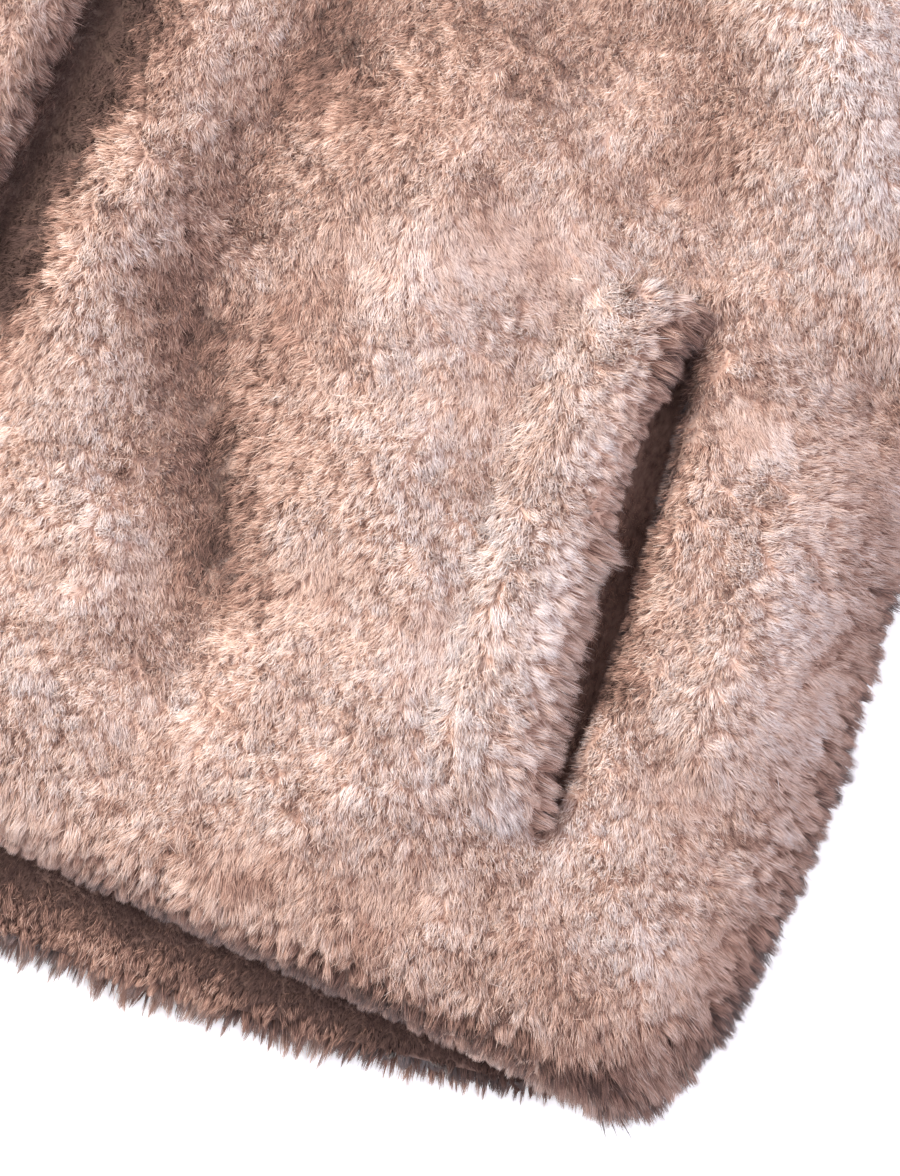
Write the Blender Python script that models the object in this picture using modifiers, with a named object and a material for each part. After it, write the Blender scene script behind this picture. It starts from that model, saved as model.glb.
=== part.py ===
"""A cropped faux fur bomber jacket, laid flat on its back with the sleeves spread.

Metres, +Z up. +Y runs up the garment from the hem to the collar, +X to the wearer's left, and
+Z out of the front. The underside of the back lies on Z = 0, under the middle of the garment.
Every panel is an open surface worked out from the plan outline, thickened to a wall of fur cloth.
The sizes below are taken with Y = 0 at the front hem, and one empty moves the garment to its middle.
"""

import math

import bpy
from mathutils import Vector

# Driving dimensions
FUR_WALL = 0.007  # knitted backing with the dense lower pile on it
COLLAR_WALL = 0.009  # the collar is folded double
FACING_WALL = 0.005
BAG_WALL = 0.0015
SEAM_GAP = 0.0004
COLLAR_GAP = 0.0015
SEAM_HEIGHT = 0.0102  # side and shoulder seams, above the surface the jacket lies on

BODY_HEIGHT = 0.031  # outer face of the front
CENTRE_HEIGHT = 0.027  # outer face of the left front where the right one laps over it
LOWEST_TOP = 0.0265  # the deepest fold of the front stays this high
OVERLAP_HEIGHT = 0.041  # outer face of the right front along its free edge
EDGE_DROP = 0.010  # how far the hem and the free front edge turn down
EDGE_RADIUS = 0.010
SIDE_RADIUS = 0.022  # plan width over which the front rolls down to the side seam
BACK_RADIUS = 0.012  # plan width over which the back rolls up to it

OVERLAP = 0.020  # each front passes the centre line by this much
OVERLAP_SLOPE = (0.022, 0.064)  # where the right front comes down from its free edge
UNDERLAP_SLOPE = (0.024, 0.060)  # where the left front comes up from under it
UNDERLAP_FLAT = (0.022, 0.050)  # the left front's folds fade out across this, before the overlap
HEM_CORNER = (0.268, 0.001)
BACK_HEM_DIP = 0.028  # the back hem hangs this far below the front hem at the middle
BACK_HEM_POWER = 2.5
NECK_POINT = (0.082, 0.575)  # where neckline and shoulder seam meet
SHOULDER_POINT = (0.228, 0.538)
UNDERARM = (0.284, 0.335)
FRONT_NECK_DEPTH = 0.078
BACK_NECK_DEPTH = 0.020
NECK_POWER = 1.8
COLLAR_OVERLAP = 0.007  # each end of the collar passes the centre line by this much
COLLAR_STAND = 0.046
COLLAR_LEAN = 0.12  # share of its half width by which the collar narrows to its top

SLIT_TOP = (0.204, 0.1975)
SLIT_BOTTOM = (0.222, 0.060)
SLIT_HALF_WIDTH = 0.0085
WELT_WIDTH = 0.029
WELT_THICKNESS = 0.0075
WELT_GAP = 0.0009  # a welt follows its panel's facets with this much room
WELT_SPAN = (0.01, 1.03)  # shares of the slit's length, from its lower end
WELT_TAPER = 0.13  # share of the slit's length over which a welt thins towards each of its ends
WELT_END = 0.35  # share of its thickness left there
BAG_DEPTH = 0.105  # from the slit towards the centre front
BAG_DROP = 0.008  # how far the bag reaches past both ends of the slit
BAG_GAP = 0.0035
BAG_FOLD_HEIGHT = 0.0042  # the two layers of the bag with the room between them
BAG_PAST_SLIT = 0.018  # the lower layer runs this far under the side lip of the slit
BAG_STEP = (0.0125, 0.006)  # and steps down over this stretch of it
BAG_LIP_GAP = 0.0012  # the upper layer ends this far short of the slit's edge

BACK_FACING_DEPTH = 0.050
BACK_FACING_HALF_WIDTH = 0.246
BACK_FACING_INSET = 0.0015

GARMENT_BOTTOM = HEM_CORNER[1] - BACK_HEM_DIP
GARMENT_TOP = NECK_POINT[1] + COLLAR_GAP + COLLAR_STAND
MIDDLE = 0.5 * (GARMENT_BOTTOM + GARMENT_TOP)

# Plan outline of the wearer's left side, from the hem corner to the underarm
SIDE_OUTLINE = [
    {"x": 0.268, "y": 0.001},
    {"x": 0.280, "y": 0.009},
    {"x": 0.285, "y": 0.025},
    {"x": 0.2875, "y": 0.070},
    {"x": 0.285, "y": 0.112},
    {"x": 0.280, "y": 0.152},
    {"x": 0.279, "y": 0.205},
    {"x": 0.281, "y": 0.270},
    {"x": 0.284, "y": 0.335},
]

# Sections of the wearer's left sleeve, each a straight line across it in plan
SLEEVE_SECTIONS = [
    {"upper_x": 0.228, "upper_y": 0.538, "lower_x": 0.284, "lower_y": 0.335},
    {"upper_x": 0.272, "upper_y": 0.530, "lower_x": 0.292, "lower_y": 0.327},
    {"upper_x": 0.320, "upper_y": 0.514, "lower_x": 0.304, "lower_y": 0.315},
    {"upper_x": 0.367, "upper_y": 0.489, "lower_x": 0.321, "lower_y": 0.299},
    {"upper_x": 0.411, "upper_y": 0.456, "lower_x": 0.346, "lower_y": 0.276},
    {"upper_x": 0.453, "upper_y": 0.414, "lower_x": 0.381, "lower_y": 0.243},
    {"upper_x": 0.506, "upper_y": 0.350, "lower_x": 0.430, "lower_y": 0.197},
    {"upper_x": 0.560, "upper_y": 0.283, "lower_x": 0.481, "lower_y": 0.149},
    {"upper_x": 0.613, "upper_y": 0.217, "lower_x": 0.527, "lower_y": 0.106},
    {"upper_x": 0.657, "upper_y": 0.162, "lower_x": 0.555, "lower_y": 0.082},
]

# Folds of the top layer: a soft ridge (rise above 0) or trough (below 0) along a line in plan
LEFT_FOLDS = [
    {"x": 0.080, "y": 0.245, "to_x": 0.094, "to_y": 0.130, "width": 0.020, "rise": -0.0045},
    {"x": 0.096, "y": 0.118, "to_x": 0.116, "to_y": 0.062, "width": 0.018, "rise": -0.0040},
    {"x": 0.050, "y": 0.195, "to_x": 0.054, "to_y": 0.130, "width": 0.019, "rise": 0.0050},
    {"x": 0.070, "y": 0.105, "to_x": 0.085, "to_y": 0.040, "width": 0.019, "rise": 0.0040},
    {"x": 0.130, "y": 0.215, "to_x": 0.143, "to_y": 0.150, "width": 0.024, "rise": 0.0040},
    {"x": 0.148, "y": 0.128, "to_x": 0.176, "to_y": 0.052, "width": 0.024, "rise": 0.0045},
    {"x": 0.248, "y": 0.160, "to_x": 0.254, "to_y": 0.105, "width": 0.018, "rise": 0.0040},
    {"x": 0.282, "y": 0.172, "to_x": 0.258, "to_y": 0.198, "width": 0.016, "rise": -0.0045},
    {"x": 0.150, "y": 0.264, "to_x": 0.196, "to_y": 0.230, "width": 0.020, "rise": -0.0035},
    {"x": 0.206, "y": 0.320, "to_x": 0.222, "to_y": 0.262, "width": 0.026, "rise": 0.0050},
    {"x": 0.095, "y": 0.420, "to_x": 0.080, "to_y": 0.305, "width": 0.026, "rise": 0.0045},
    {"x": 0.250, "y": 0.345, "to_x": 0.160, "to_y": 0.420, "width": 0.022, "rise": -0.0045},
    {"x": 0.225, "y": 0.400, "to_x": 0.150, "to_y": 0.470, "width": 0.024, "rise": 0.0040},
]
RIGHT_FOLDS = [
    {"x": 0.098, "y": 0.250, "to_x": 0.108, "to_y": 0.150, "width": 0.022, "rise": -0.0045},
    {"x": 0.110, "y": 0.140, "to_x": 0.124, "to_y": 0.050, "width": 0.019, "rise": -0.0040},
    {"x": 0.140, "y": 0.300, "to_x": 0.146, "to_y": 0.215, "width": 0.026, "rise": 0.0045},
    {"x": 0.150, "y": 0.180, "to_x": 0.172, "to_y": 0.060, "width": 0.024, "rise": 0.0045},
    {"x": 0.250, "y": 0.150, "to_x": 0.256, "to_y": 0.080, "width": 0.019, "rise": 0.0040},
    {"x": 0.190, "y": 0.330, "to_x": 0.205, "to_y": 0.255, "width": 0.025, "rise": 0.0040},
    {"x": 0.110, "y": 0.450, "to_x": 0.098, "to_y": 0.340, "width": 0.026, "rise": 0.0040},
    {"x": 0.252, "y": 0.340, "to_x": 0.150, "to_y": 0.400, "width": 0.021, "rise": -0.0045},
    {"x": 0.215, "y": 0.410, "to_x": 0.140, "to_y": 0.480, "width": 0.024, "rise": 0.0040},
]
SLEEVE_FOLDS = [
    {"x": 0.300, "y": 0.350, "to_x": 0.370, "to_y": 0.430, "width": 0.020, "rise": -0.0040},
    {"x": 0.345, "y": 0.320, "to_x": 0.430, "to_y": 0.395, "width": 0.020, "rise": 0.0040},
    {"x": 0.425, "y": 0.235, "to_x": 0.500, "to_y": 0.300, "width": 0.018, "rise": -0.0045},
    {"x": 0.408, "y": 0.290, "to_x": 0.470, "to_y": 0.345, "width": 0.018, "rise": 0.0040},
    {"x": 0.490, "y": 0.190, "to_x": 0.560, "to_y": 0.245, "width": 0.018, "rise": 0.0040},
    {"x": 0.560, "y": 0.120, "to_x": 0.610, "to_y": 0.175, "width": 0.016, "rise": -0.0030},
]

# Mesh fineness
NECK_SHARE = 0.40  # share of a panel's width where, at its top, the neckline ends
ARMHOLE_SHARE = 0.61  # share of a panel's height where, at its side, the armhole starts
FRONT_FINENESS = {"neck": 7, "shoulder": 8, "side": 14, "armhole": 5}  # grid cells
BACK_FINENESS = {"neck": 3, "shoulder": 4, "side": 6, "armhole": 3}
ROLL_STEPS = 3
RING_STEPS = 6
CUFF_STEPS = 2
COLLAR_STEPS = 6
COLLAR_ROWS = 2
WELT_ROWS = 10
BAG_ROWS = 6
BAG_COLUMNS = 3
FACING_COLUMNS = 9
FACING_ROWS = 2
OUTLINE_STEPS = 6
SLIT_SIDES = 32
BEYOND = 0.004  # panels run this far past the armhole seam before they are cut there
CUTTER_SIZE = 2.0
SLIT_CUTTER_HEIGHT = 0.08
SLIT_CUTTER_DEPTH = 0.005  # it starts this far under the lowest inner face of the front


# ---- plan outline ----


def smooth_line(points, steps):
    """Points along a Catmull-Rom curve through the given ones, with steps to each stretch."""
    ends = [2 * points[0] - points[1]] + points + [2 * points[-1] - points[-2]]
    line = []
    for before, start, end, after in zip(ends, ends[1:], ends[2:], ends[3:]):
        for step in range(steps):
            t = step / steps
            line.append(
                0.5
                * (
                    2 * start
                    + t * (end - before)
                    + t**2 * (2 * before - 5 * start + 4 * end - after)
                    + t**3 * (3 * start - before - 3 * end + after)
                )
            )
    return line + [points[-1]]


def at_share(line, share):
    """The point at this share of a line's length."""
    lengths = [(b - a).length for a, b in zip(line, line[1:])]
    left = share * sum(lengths)
    for a, b, length in zip(line, line[1:], lengths):
        if left <= length:
            return a.lerp(b, left / length)
        left -= length
    return line[-1].copy()


def point_of(row, x="x", y="y"):
    return Vector((row[x], row[y]))


SIDE_LINE = smooth_line([point_of(row) for row in SIDE_OUTLINE], OUTLINE_STEPS)
ARMHOLE_LINE = [Vector(UNDERARM), Vector(SHOULDER_POINT)]
SHOULDER_LINE = [Vector(SHOULDER_POINT), Vector(NECK_POINT)]
SLEEVE_UPPER = [point_of(row, "upper_x", "upper_y") for row in SLEEVE_SECTIONS]
SLEEVE_LOWER = [point_of(row, "lower_x", "lower_y") for row in SLEEVE_SECTIONS]
ROLLED_LINES = [SIDE_LINE, SLEEVE_LOWER, SLEEVE_UPPER, SHOULDER_LINE]


def line_distance(point, line):
    """The plan distance from a point to the nearest stretch of a line."""
    nearest = math.inf
    for a, b in zip(line, line[1:]):
        along = b - a
        share = (point - a).dot(along) / along.length_squared
        foot = a + along * min(max(share, 0), 1)
        nearest = min(nearest, (point - foot).length)
    return nearest


def outline_distance(x, y):
    """The plan distance to the garment's rolled outline: sides, sleeves and shoulders."""
    point = Vector((x, y))
    return min(line_distance(point, line) for line in ROLLED_LINES)


def roll(distance, radius):
    """A quarter ellipse: 0 at the edge, where it stands upright, and 1 from the radius inwards."""
    return math.sqrt(max(0, 1 - max(0, 1 - distance / radius) ** 2))


def ease(value, start, end):
    """0 at start, 1 at end, with a smooth way between."""
    t = min(max((value - start) / (end - start), 0), 1)
    return t * t * (3 - 2 * t)


def neck_y(x, depth):
    """The neckline's height in plan at this distance from the centre line."""
    return NECK_POINT[1] - depth * (1 - abs(x / NECK_POINT[0]) ** NECK_POWER)


def front_hem_y(x):
    """The front hem runs straight across."""
    return HEM_CORNER[1]


def back_hem_y(x):
    """The back hem hangs lowest at the middle and meets the front one at the corners."""
    return HEM_CORNER[1] - BACK_HEM_DIP * (1 - abs(x / HEM_CORNER[0]) ** BACK_HEM_POWER)


# ---- heights of the top layer ----


def fold_rise(x, y, folds):
    """What the listed folds add here. Each fades out with distance from its line."""
    rise = 0
    for fold in folds:
        line = [point_of(fold), point_of(fold, "to_x", "to_y")]
        away = line_distance(Vector((x, y)), line) / fold["width"]
        rise += fold["rise"] * math.exp(-away * away)
    return rise


def left_top(x, y):
    """Outer face of the left front and sleeve, before it rolls down at its edges."""
    base = CENTRE_HEIGHT + (BODY_HEIGHT - CENTRE_HEIGHT) * ease(x, *UNDERLAP_SLOPE)
    free = ease(x, *UNDERLAP_FLAT)
    return max(LOWEST_TOP, base + free * fold_rise(x, y, LEFT_FOLDS + SLEEVE_FOLDS))


def right_top(x, y):
    """The same for the right side, mirrored, where the free edge rides over the left front."""
    free = ease(x, *OVERLAP_SLOPE)
    base = OVERLAP_HEIGHT + (BODY_HEIGHT - OVERLAP_HEIGHT) * free
    return max(LOWEST_TOP, base + free * fold_rise(x, y, RIGHT_FOLDS + SLEEVE_FOLDS))


def rolled(top, x, y, edge=math.inf):
    """Height of the top layer's outer face, rolled to the seam and turned down at a free edge."""
    turned = EDGE_DROP * (1 - roll(edge, EDGE_RADIUS))
    share = roll(outline_distance(x, y), SIDE_RADIUS)
    return SEAM_HEIGHT + share * (top(x, y) - SEAM_HEIGHT - turned)


def back_bottom(x, y):
    """Height of the bottom layer's outer face: flat, and rolled up to the seam."""
    return SEAM_HEIGHT * (1 - roll(outline_distance(x, y), BACK_RADIUS))


# ---- plan grids ----


def spread(start, end, count):
    """Evenly spaced values from start to end, with both."""
    return [start + (end - start) * k / count for k in range(count + 1)]


def edge_steps(radius, count=ROLL_STEPS):
    """Distances from an edge at which a quarter round of this radius turns by equal angles."""
    return [radius * (1 - math.cos(0.5 * math.pi * k / count)) for k in range(count)]


def rolled_shares(length, start_radius, end_radius, corner, corner_radius, before, after):
    """Shares from 0 to 1 with one at a corner, closer together where an end or the corner rolls."""
    start = [step / length for step in edge_steps(start_radius)] if start_radius else []
    end = [1 - step / length for step in reversed(edge_steps(end_radius))]
    first = spread(start_radius / length, corner, before)
    turn = [corner + step / length for step in edge_steps(corner_radius)] if corner_radius else []
    second = spread(corner + corner_radius / length, 1 - end_radius / length, after)
    return start + first[:-1] + turn + second + end


def panel_plan(centre_x, hem_y, neck_depth, fineness, centre_radius, hem_radius, seam_radius):
    """Rows of plan points over a half panel: a Coons patch between its four edges."""
    corner, neck = Vector(HEM_CORNER), Vector(NECK_POINT)
    underarm, shoulder = Vector(UNDERARM), Vector(SHOULDER_POINT)
    outwards = (shoulder - underarm).orthogonal().normalized()
    outwards *= math.copysign(BEYOND, outwards.x)

    def hem(u):
        x = centre_x + u * (corner.x - centre_x)
        return Vector((x, hem_y(x)))

    def top(u):
        if u > NECK_SHARE:
            return neck.lerp(shoulder, (u - NECK_SHARE) / (1 - NECK_SHARE))
        x = centre_x + (neck.x - centre_x) * u / NECK_SHARE
        return Vector((x, neck_y(x, neck_depth)))

    def side(v):
        if v <= ARMHOLE_SHARE:
            return at_share(SIDE_LINE, v / ARMHOLE_SHARE)
        share = (v - ARMHOLE_SHARE) / (1 - ARMHOLE_SHARE)
        return underarm.lerp(shoulder, share) + outwards * math.sin(math.pi * share)

    def centre(v):
        return hem(0).lerp(top(0), v)

    def patch(u, v):
        across = hem(u).lerp(top(u), v)
        upwards = centre(v).lerp(side(v), u)
        corners = hem(0).lerp(hem(1), u).lerp(top(0).lerp(top(1), u), v)
        return across + upwards - corners

    width = corner.x - centre_x
    height = shoulder.y - corner.y
    across, up = (fineness["neck"], fineness["shoulder"]), (fineness["side"], fineness["armhole"])
    columns = rolled_shares(width, centre_radius, seam_radius, NECK_SHARE, 0, *across)
    rows = rolled_shares(height, hem_radius, seam_radius, ARMHOLE_SHARE, seam_radius, *up)
    return [[patch(u, v) for u in columns] for v in rows]


# ---- Blender objects ----


def clear_scene():
    for obj in list(bpy.data.objects):
        bpy.data.objects.remove(obj)


def collection(name):
    made = bpy.data.collections.new(name)
    bpy.context.scene.collection.children.link(made)
    return made


def material(name, color, roughness):
    made = bpy.data.materials.new(name)
    made.use_nodes = True
    shader = made.node_tree.nodes["Principled BSDF"]
    shader.inputs["Base Color"].default_value = (*color, 1)
    shader.inputs["Roughness"].default_value = roughness
    shader.inputs["Metallic"].default_value = 0
    return made


def surface(name, rows, finish, side=1, ring=False):
    """An open surface through rows of points, its faces towards +Z where the rows run to +Y."""
    width = len(rows[0])
    points = [(side * x, y, z) for row in rows for x, y, z in row]
    faces = []
    for row in range(len(rows) - 1):
        for column in range(width if ring else width - 1):
            after = (column + 1) % width
            a, b = row * width + column, row * width + after
            faces.append((a, b, b + width, a + width)[::side])
    mesh = bpy.data.meshes.new(name)
    mesh.from_pydata(points, [], faces)
    mesh.materials.append(finish)
    mesh.shade_smooth()
    made = bpy.data.objects.new(name, mesh)
    GARMENT.objects.link(made)
    made.parent = LAYOUT
    return made


def thicken(obj, wall, outwards=False):
    """Thickens a surface to a wall, behind its face or, outwards, in front of it."""
    solidify = obj.modifiers.new("wall", "SOLIDIFY")
    solidify.thickness = wall
    solidify.offset = 1 if outwards else -1
    solidify.use_even_offset = True
    solidify.use_quality_normals = True
    return solidify


def mirror(obj):
    mirrored = obj.modifiers.new("other half", "MIRROR")
    mirrored.merge_threshold = 1e-5


def cut(obj, cutter, solver="EXACT"):
    boolean = obj.modifiers.new(cutter.name, "BOOLEAN")
    boolean.operation = "DIFFERENCE"
    boolean.object = cutter
    boolean.solver = solver


def as_cutter(obj, name):
    obj.name = name
    obj.parent = LAYOUT
    obj.hide_render = True
    obj.display_type = "WIRE"
    for holder in list(obj.users_collection):
        holder.objects.unlink(obj)
    CUTTERS.objects.link(obj)
    return obj


def level_cutter(name, height, above):
    """A box that takes away everything above a height, or below it."""
    middle = height + (0.5 if above else -0.5) * CUTTER_SIZE
    bpy.ops.mesh.primitive_cube_add(size=CUTTER_SIZE, location=(0, 0, middle))
    return as_cutter(bpy.context.object, name)


def armhole_cutter(name, side, outside):
    """A box that takes away everything on one side of an armhole seam."""
    underarm, shoulder = Vector(UNDERARM), Vector(SHOULDER_POINT)
    seam = shoulder - underarm
    outwards = Vector((seam.y, -seam.x)).normalized()
    reach = 0.5 * (CUTTER_SIZE - SEAM_GAP)
    centre = underarm + 0.5 * seam + outwards * (reach if outside else -reach)
    angle = math.atan2(outwards.y, outwards.x)
    place = (side * centre.x, centre.y, 0)
    bpy.ops.mesh.primitive_cube_add(size=CUTTER_SIZE, location=place, rotation=(0, 0, side * angle))
    return as_cutter(bpy.context.object, name)


def slit_cutter(name, side):
    """An upright prism with a long thin ellipse for its plan, where a hand goes in."""
    top, bottom = Vector(SLIT_TOP), Vector(SLIT_BOTTOM)
    along = top - bottom
    centre = 0.5 * (top + bottom)
    height = LOWEST_TOP - FUR_WALL - SLIT_CUTTER_DEPTH + 0.5 * SLIT_CUTTER_HEIGHT
    bpy.ops.mesh.primitive_cylinder_add(
        vertices=SLIT_SIDES,
        radius=1,
        depth=SLIT_CUTTER_HEIGHT,
        location=(side * centre.x, centre.y, height),
        rotation=(0, 0, -side * math.atan2(along.x, along.y)),
    )
    made = bpy.context.object
    made.scale = (SLIT_HALF_WIDTH, 0.5 * along.length, 1)
    return as_cutter(made, name)


# ---- panels ----


def front(name, side, top, free_edge):
    """One front: rolled to its side and shoulder seams, turned down at its hem and free edge."""
    centre_radius = EDGE_RADIUS if free_edge else 0
    radii = (centre_radius, EDGE_RADIUS, SIDE_RADIUS)
    plan = panel_plan(-OVERLAP, front_hem_y, FRONT_NECK_DEPTH, FRONT_FINENESS, *radii)
    rows = []
    for plan_row in plan:
        row = []
        for x, y in plan_row:
            edge = min(y - front_hem_y(x), x + OVERLAP if free_edge else math.inf)
            row.append((x, y, rolled(top, x, y, edge)))
        rows.append(row)
    panel = surface(name, rows, FUR, side)
    thicken(panel, FUR_WALL)
    cut(panel, BELOW_SEAM)
    cut(panel, OUTSIDE_ARMHOLE[side])
    cut(panel, SLITS[side])
    return panel


def back():
    """The back: flat where it lies, its hem dipping below the front's, rolled up to the seams."""
    plan = panel_plan(0, back_hem_y, BACK_NECK_DEPTH, BACK_FINENESS, 0, 0, BACK_RADIUS)
    rows = [[(x, y, back_bottom(x, y)) for x, y in row] for row in plan]
    panel = surface("back", rows[::-1], FUR)
    mirror(panel)
    thicken(panel, FUR_WALL)
    cut(panel, ABOVE_SEAM)
    for side in (1, -1):
        cut(panel, OUTSIDE_ARMHOLE[side], "MANIFOLD")
    return panel


def back_hem_facing():
    """The strip of fur turned up inside the back hem, lying on the back."""
    rows = []
    for share in spread(0, 1, FACING_ROWS):
        row = []
        for x in spread(0, BACK_FACING_HALF_WIDTH, FACING_COLUMNS):
            start = back_hem_y(x) + BACK_FACING_INSET
            row.append((x, start + share * (BACK_FACING_DEPTH - start), FUR_WALL + SEAM_GAP))
        rows.append(row)
    strip = surface("back_hem_facing", rows, FUR)
    mirror(strip)
    thicken(strip, FACING_WALL, outwards=True)
    return strip


# ---- sleeves ----


def sleeve_sections():
    """Pairs of plan points, lower and upper edge, from inside the armhole to the cuff."""
    lower, upper = SLEEVE_LOWER[:], SLEEVE_UPPER[:]
    seam = upper[0] - lower[0]
    inwards = Vector((-seam.y, seam.x)).normalized() * BEYOND
    lower.insert(0, lower[0] + inwards)
    upper.insert(0, upper[0] + inwards)
    lower_start, upper_start = lower[-2], upper[-2]
    length = (lower[-1] - lower_start).length
    for step in reversed(edge_steps(EDGE_RADIUS, CUFF_STEPS)[1:]):
        lower.insert(-1, lower_start.lerp(lower[-1], 1 - step / length))
        upper.insert(-1, upper_start.lerp(upper[-1], 1 - step / length))
    return list(zip(lower, upper))


def sleeve_ring(lower, upper, top, cuff_distance):
    """A closed flattened ring across the sleeve: over the top layer and back along the bottom one."""
    width = (upper - lower).length
    ring = []
    rounded = edge_steps(SIDE_RADIUS)
    over = rounded + spread(SIDE_RADIUS, width - SIDE_RADIUS, RING_STEPS)
    over += [width - step for step in reversed(rounded)]
    turned = EDGE_DROP * (1 - roll(cuff_distance, EDGE_RADIUS))
    for t in over:
        x, y = lower.lerp(upper, t / width)
        share = roll(min(t, width - t), SIDE_RADIUS)
        ring.append((x, y, SEAM_HEIGHT + share * (top(x, y) - SEAM_HEIGHT - turned)))
    rounded = edge_steps(BACK_RADIUS)[1:]
    under = [width - step for step in rounded]
    under += spread(width - BACK_RADIUS, BACK_RADIUS, RING_STEPS - 2) + rounded[::-1]
    for t in under:
        x, y = lower.lerp(upper, t / width)
        ring.append((x, y, SEAM_HEIGHT * (1 - roll(min(t, width - t), BACK_RADIUS))))
    return ring


def sleeve(name, side, top):
    """A flattened tube from the armhole to the open cuff."""
    sections = sleeve_sections()
    cuff = 0.5 * (sections[-1][0] + sections[-1][1])
    rings = []
    for lower, upper in sections:
        to_cuff = (0.5 * (lower + upper) - cuff).length
        rings.append(sleeve_ring(lower, upper, top, to_cuff))
    tube = surface(name, rings[::-1], FUR, side, ring=True)
    thicken(tube, FUR_WALL)
    cut(tube, INSIDE_ARMHOLE[side])
    return tube


# ---- collar ----


def neck_xs(radius, start):
    """Distances from the centre line along a half neckline, closer where it rolls to the shoulder."""
    edge = NECK_POINT[0] - radius / 2
    rolled_part = [NECK_POINT[0] - 0.5 * step for step in reversed(edge_steps(radius))]
    return spread(start, edge, COLLAR_STEPS) + rolled_part


def collar():
    """A stand collar lying flat: along one front neckline, round the back of the neck and back."""
    def front_half(top, end):
        xs = neck_xs(SIDE_RADIUS, end)
        ys = [neck_y(x, FRONT_NECK_DEPTH) for x in xs]
        return [(x, y, rolled(top, x, y)) for x, y in zip(xs, ys)]

    back_xs = neck_xs(BACK_RADIUS, 0)
    back_half = [(x, neck_y(x, BACK_NECK_DEPTH)) for x in back_xs]
    back_half = [(x, y, back_bottom(x, y)) for x, y in back_half]
    base = front_half(left_top, -COLLAR_OVERLAP) + back_half[-2::-1]
    base += [(-x, y, z) for x, y, z in back_half[1:-1]]
    base += [(-x, y, z) for x, y, z in reversed(front_half(right_top, -COLLAR_OVERLAP))]
    rows = []
    for share in spread(0, 1, COLLAR_ROWS):
        lean = 1 - COLLAR_LEAN * share
        rise = COLLAR_GAP + COLLAR_STAND * share
        rows.append([(x * lean, y + rise, z) for x, y, z in base])
    band = surface("collar", rows, FUR)
    thicken(band, COLLAR_WALL)
    return band


# ---- pockets ----


def slit_point(share, offset):
    """A plan point this share up the slit's line, offset towards the side seam."""
    top, bottom = Vector(SLIT_TOP), Vector(SLIT_BOTTOM)
    along = top - bottom
    across = Vector((along.y, -along.x)).normalized()
    return bottom + share * along + offset * across


def slit_half_width(share):
    return SLIT_HALF_WIDTH * math.sqrt(max(0, 1 - (2 * share - 1) ** 2))


WELT_PROFILE = [
    {"across": 0.00, "thickness": 0.62},
    {"across": 0.14, "thickness": 0.92},
    {"across": 0.36, "thickness": 1.00},
    {"across": 0.62, "thickness": 0.72},
    {"across": 0.84, "thickness": 0.34},
    {"across": 1.00, "thickness": 0.08},
]


def pocket_welt(name, side, top):
    """The padded lip on the centre side of a slit, lying on its panel."""
    rows, weights = [], []
    for share in spread(*WELT_SPAN, WELT_ROWS):
        to_end = min(share - WELT_SPAN[0], WELT_SPAN[1] - share)
        fullness = WELT_END + (1 - WELT_END) * ease(to_end, 0, WELT_TAPER)
        lip = slit_half_width(share) + SEAM_GAP
        row = []
        for step in reversed(WELT_PROFILE):
            x, y = slit_point(share, -lip - step["across"] * WELT_WIDTH)
            row.append((x, y, rolled(top, x, y) + WELT_GAP))
            weights.append(fullness * step["thickness"])
        rows.append(row)
    welt = surface(name, rows, FUR, side)
    solidify = thicken(welt, WELT_THICKNESS, outwards=True)
    thickness = welt.vertex_groups.new(name="thickness")
    for index, weight in enumerate(weights):
        thickness.add([index], weight, "REPLACE")
    solidify.vertex_group = "thickness"
    return welt


def pocket_bag(name, side, top):
    """A flat pouch hung under the front: its lower layer runs on under the slit."""
    middle_drop = 0.5 * BAG_FOLD_HEIGHT
    past = BAG_DROP / (Vector(SLIT_TOP) - Vector(SLIT_BOTTOM)).length
    step_middle = 0.5 * (BAG_WALL + BAG_FOLD_HEIGHT)
    rows = []
    for share in spread(-past, 1 + past, BAG_ROWS):
        drops = [(BAG_PAST_SLIT, BAG_WALL), (BAG_STEP[0], step_middle)]
        drops += [(offset, BAG_FOLD_HEIGHT) for offset in spread(BAG_STEP[1], -BAG_DEPTH, BAG_COLUMNS)]
        drops.append((-BAG_DEPTH - middle_drop, middle_drop))
        lip = -slit_half_width(share) - BAG_LIP_GAP
        drops += [(offset, 0) for offset in spread(-BAG_DEPTH, lip, BAG_COLUMNS)]
        row = []
        for offset, drop in drops:
            x, y = slit_point(share, offset)
            row.append((x, y, top(x, y) - FUR_WALL - BAG_GAP - drop))
        rows.append(row)
    pouch = surface(name, rows, LINING, side)
    thicken(pouch, BAG_WALL)
    return pouch


# ---- the garment ----

clear_scene()
GARMENT = collection("Fur bomber jacket")
CUTTERS = collection("Cutters")
FUR = material("faux fur", (0.62, 0.44, 0.38), 0.85)
LINING = material("pocket cloth", (0.30, 0.19, 0.15), 0.9)
LAYOUT = bpy.data.objects.new("layout", None)
LAYOUT.location = (0, -MIDDLE, 0)
bpy.context.scene.collection.objects.link(LAYOUT)

BELOW_SEAM = level_cutter("below_seam", SEAM_HEIGHT + SEAM_GAP / 2, above=False)
ABOVE_SEAM = level_cutter("above_seam", SEAM_HEIGHT - SEAM_GAP / 2, above=True)
OUTSIDE_ARMHOLE = {side: armhole_cutter(f"outside_armhole_{side}", side, True) for side in (1, -1)}
INSIDE_ARMHOLE = {side: armhole_cutter(f"inside_armhole_{side}", side, False) for side in (1, -1)}
SLITS = {side: slit_cutter(f"slit_{side}", side) for side in (1, -1)}

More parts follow.
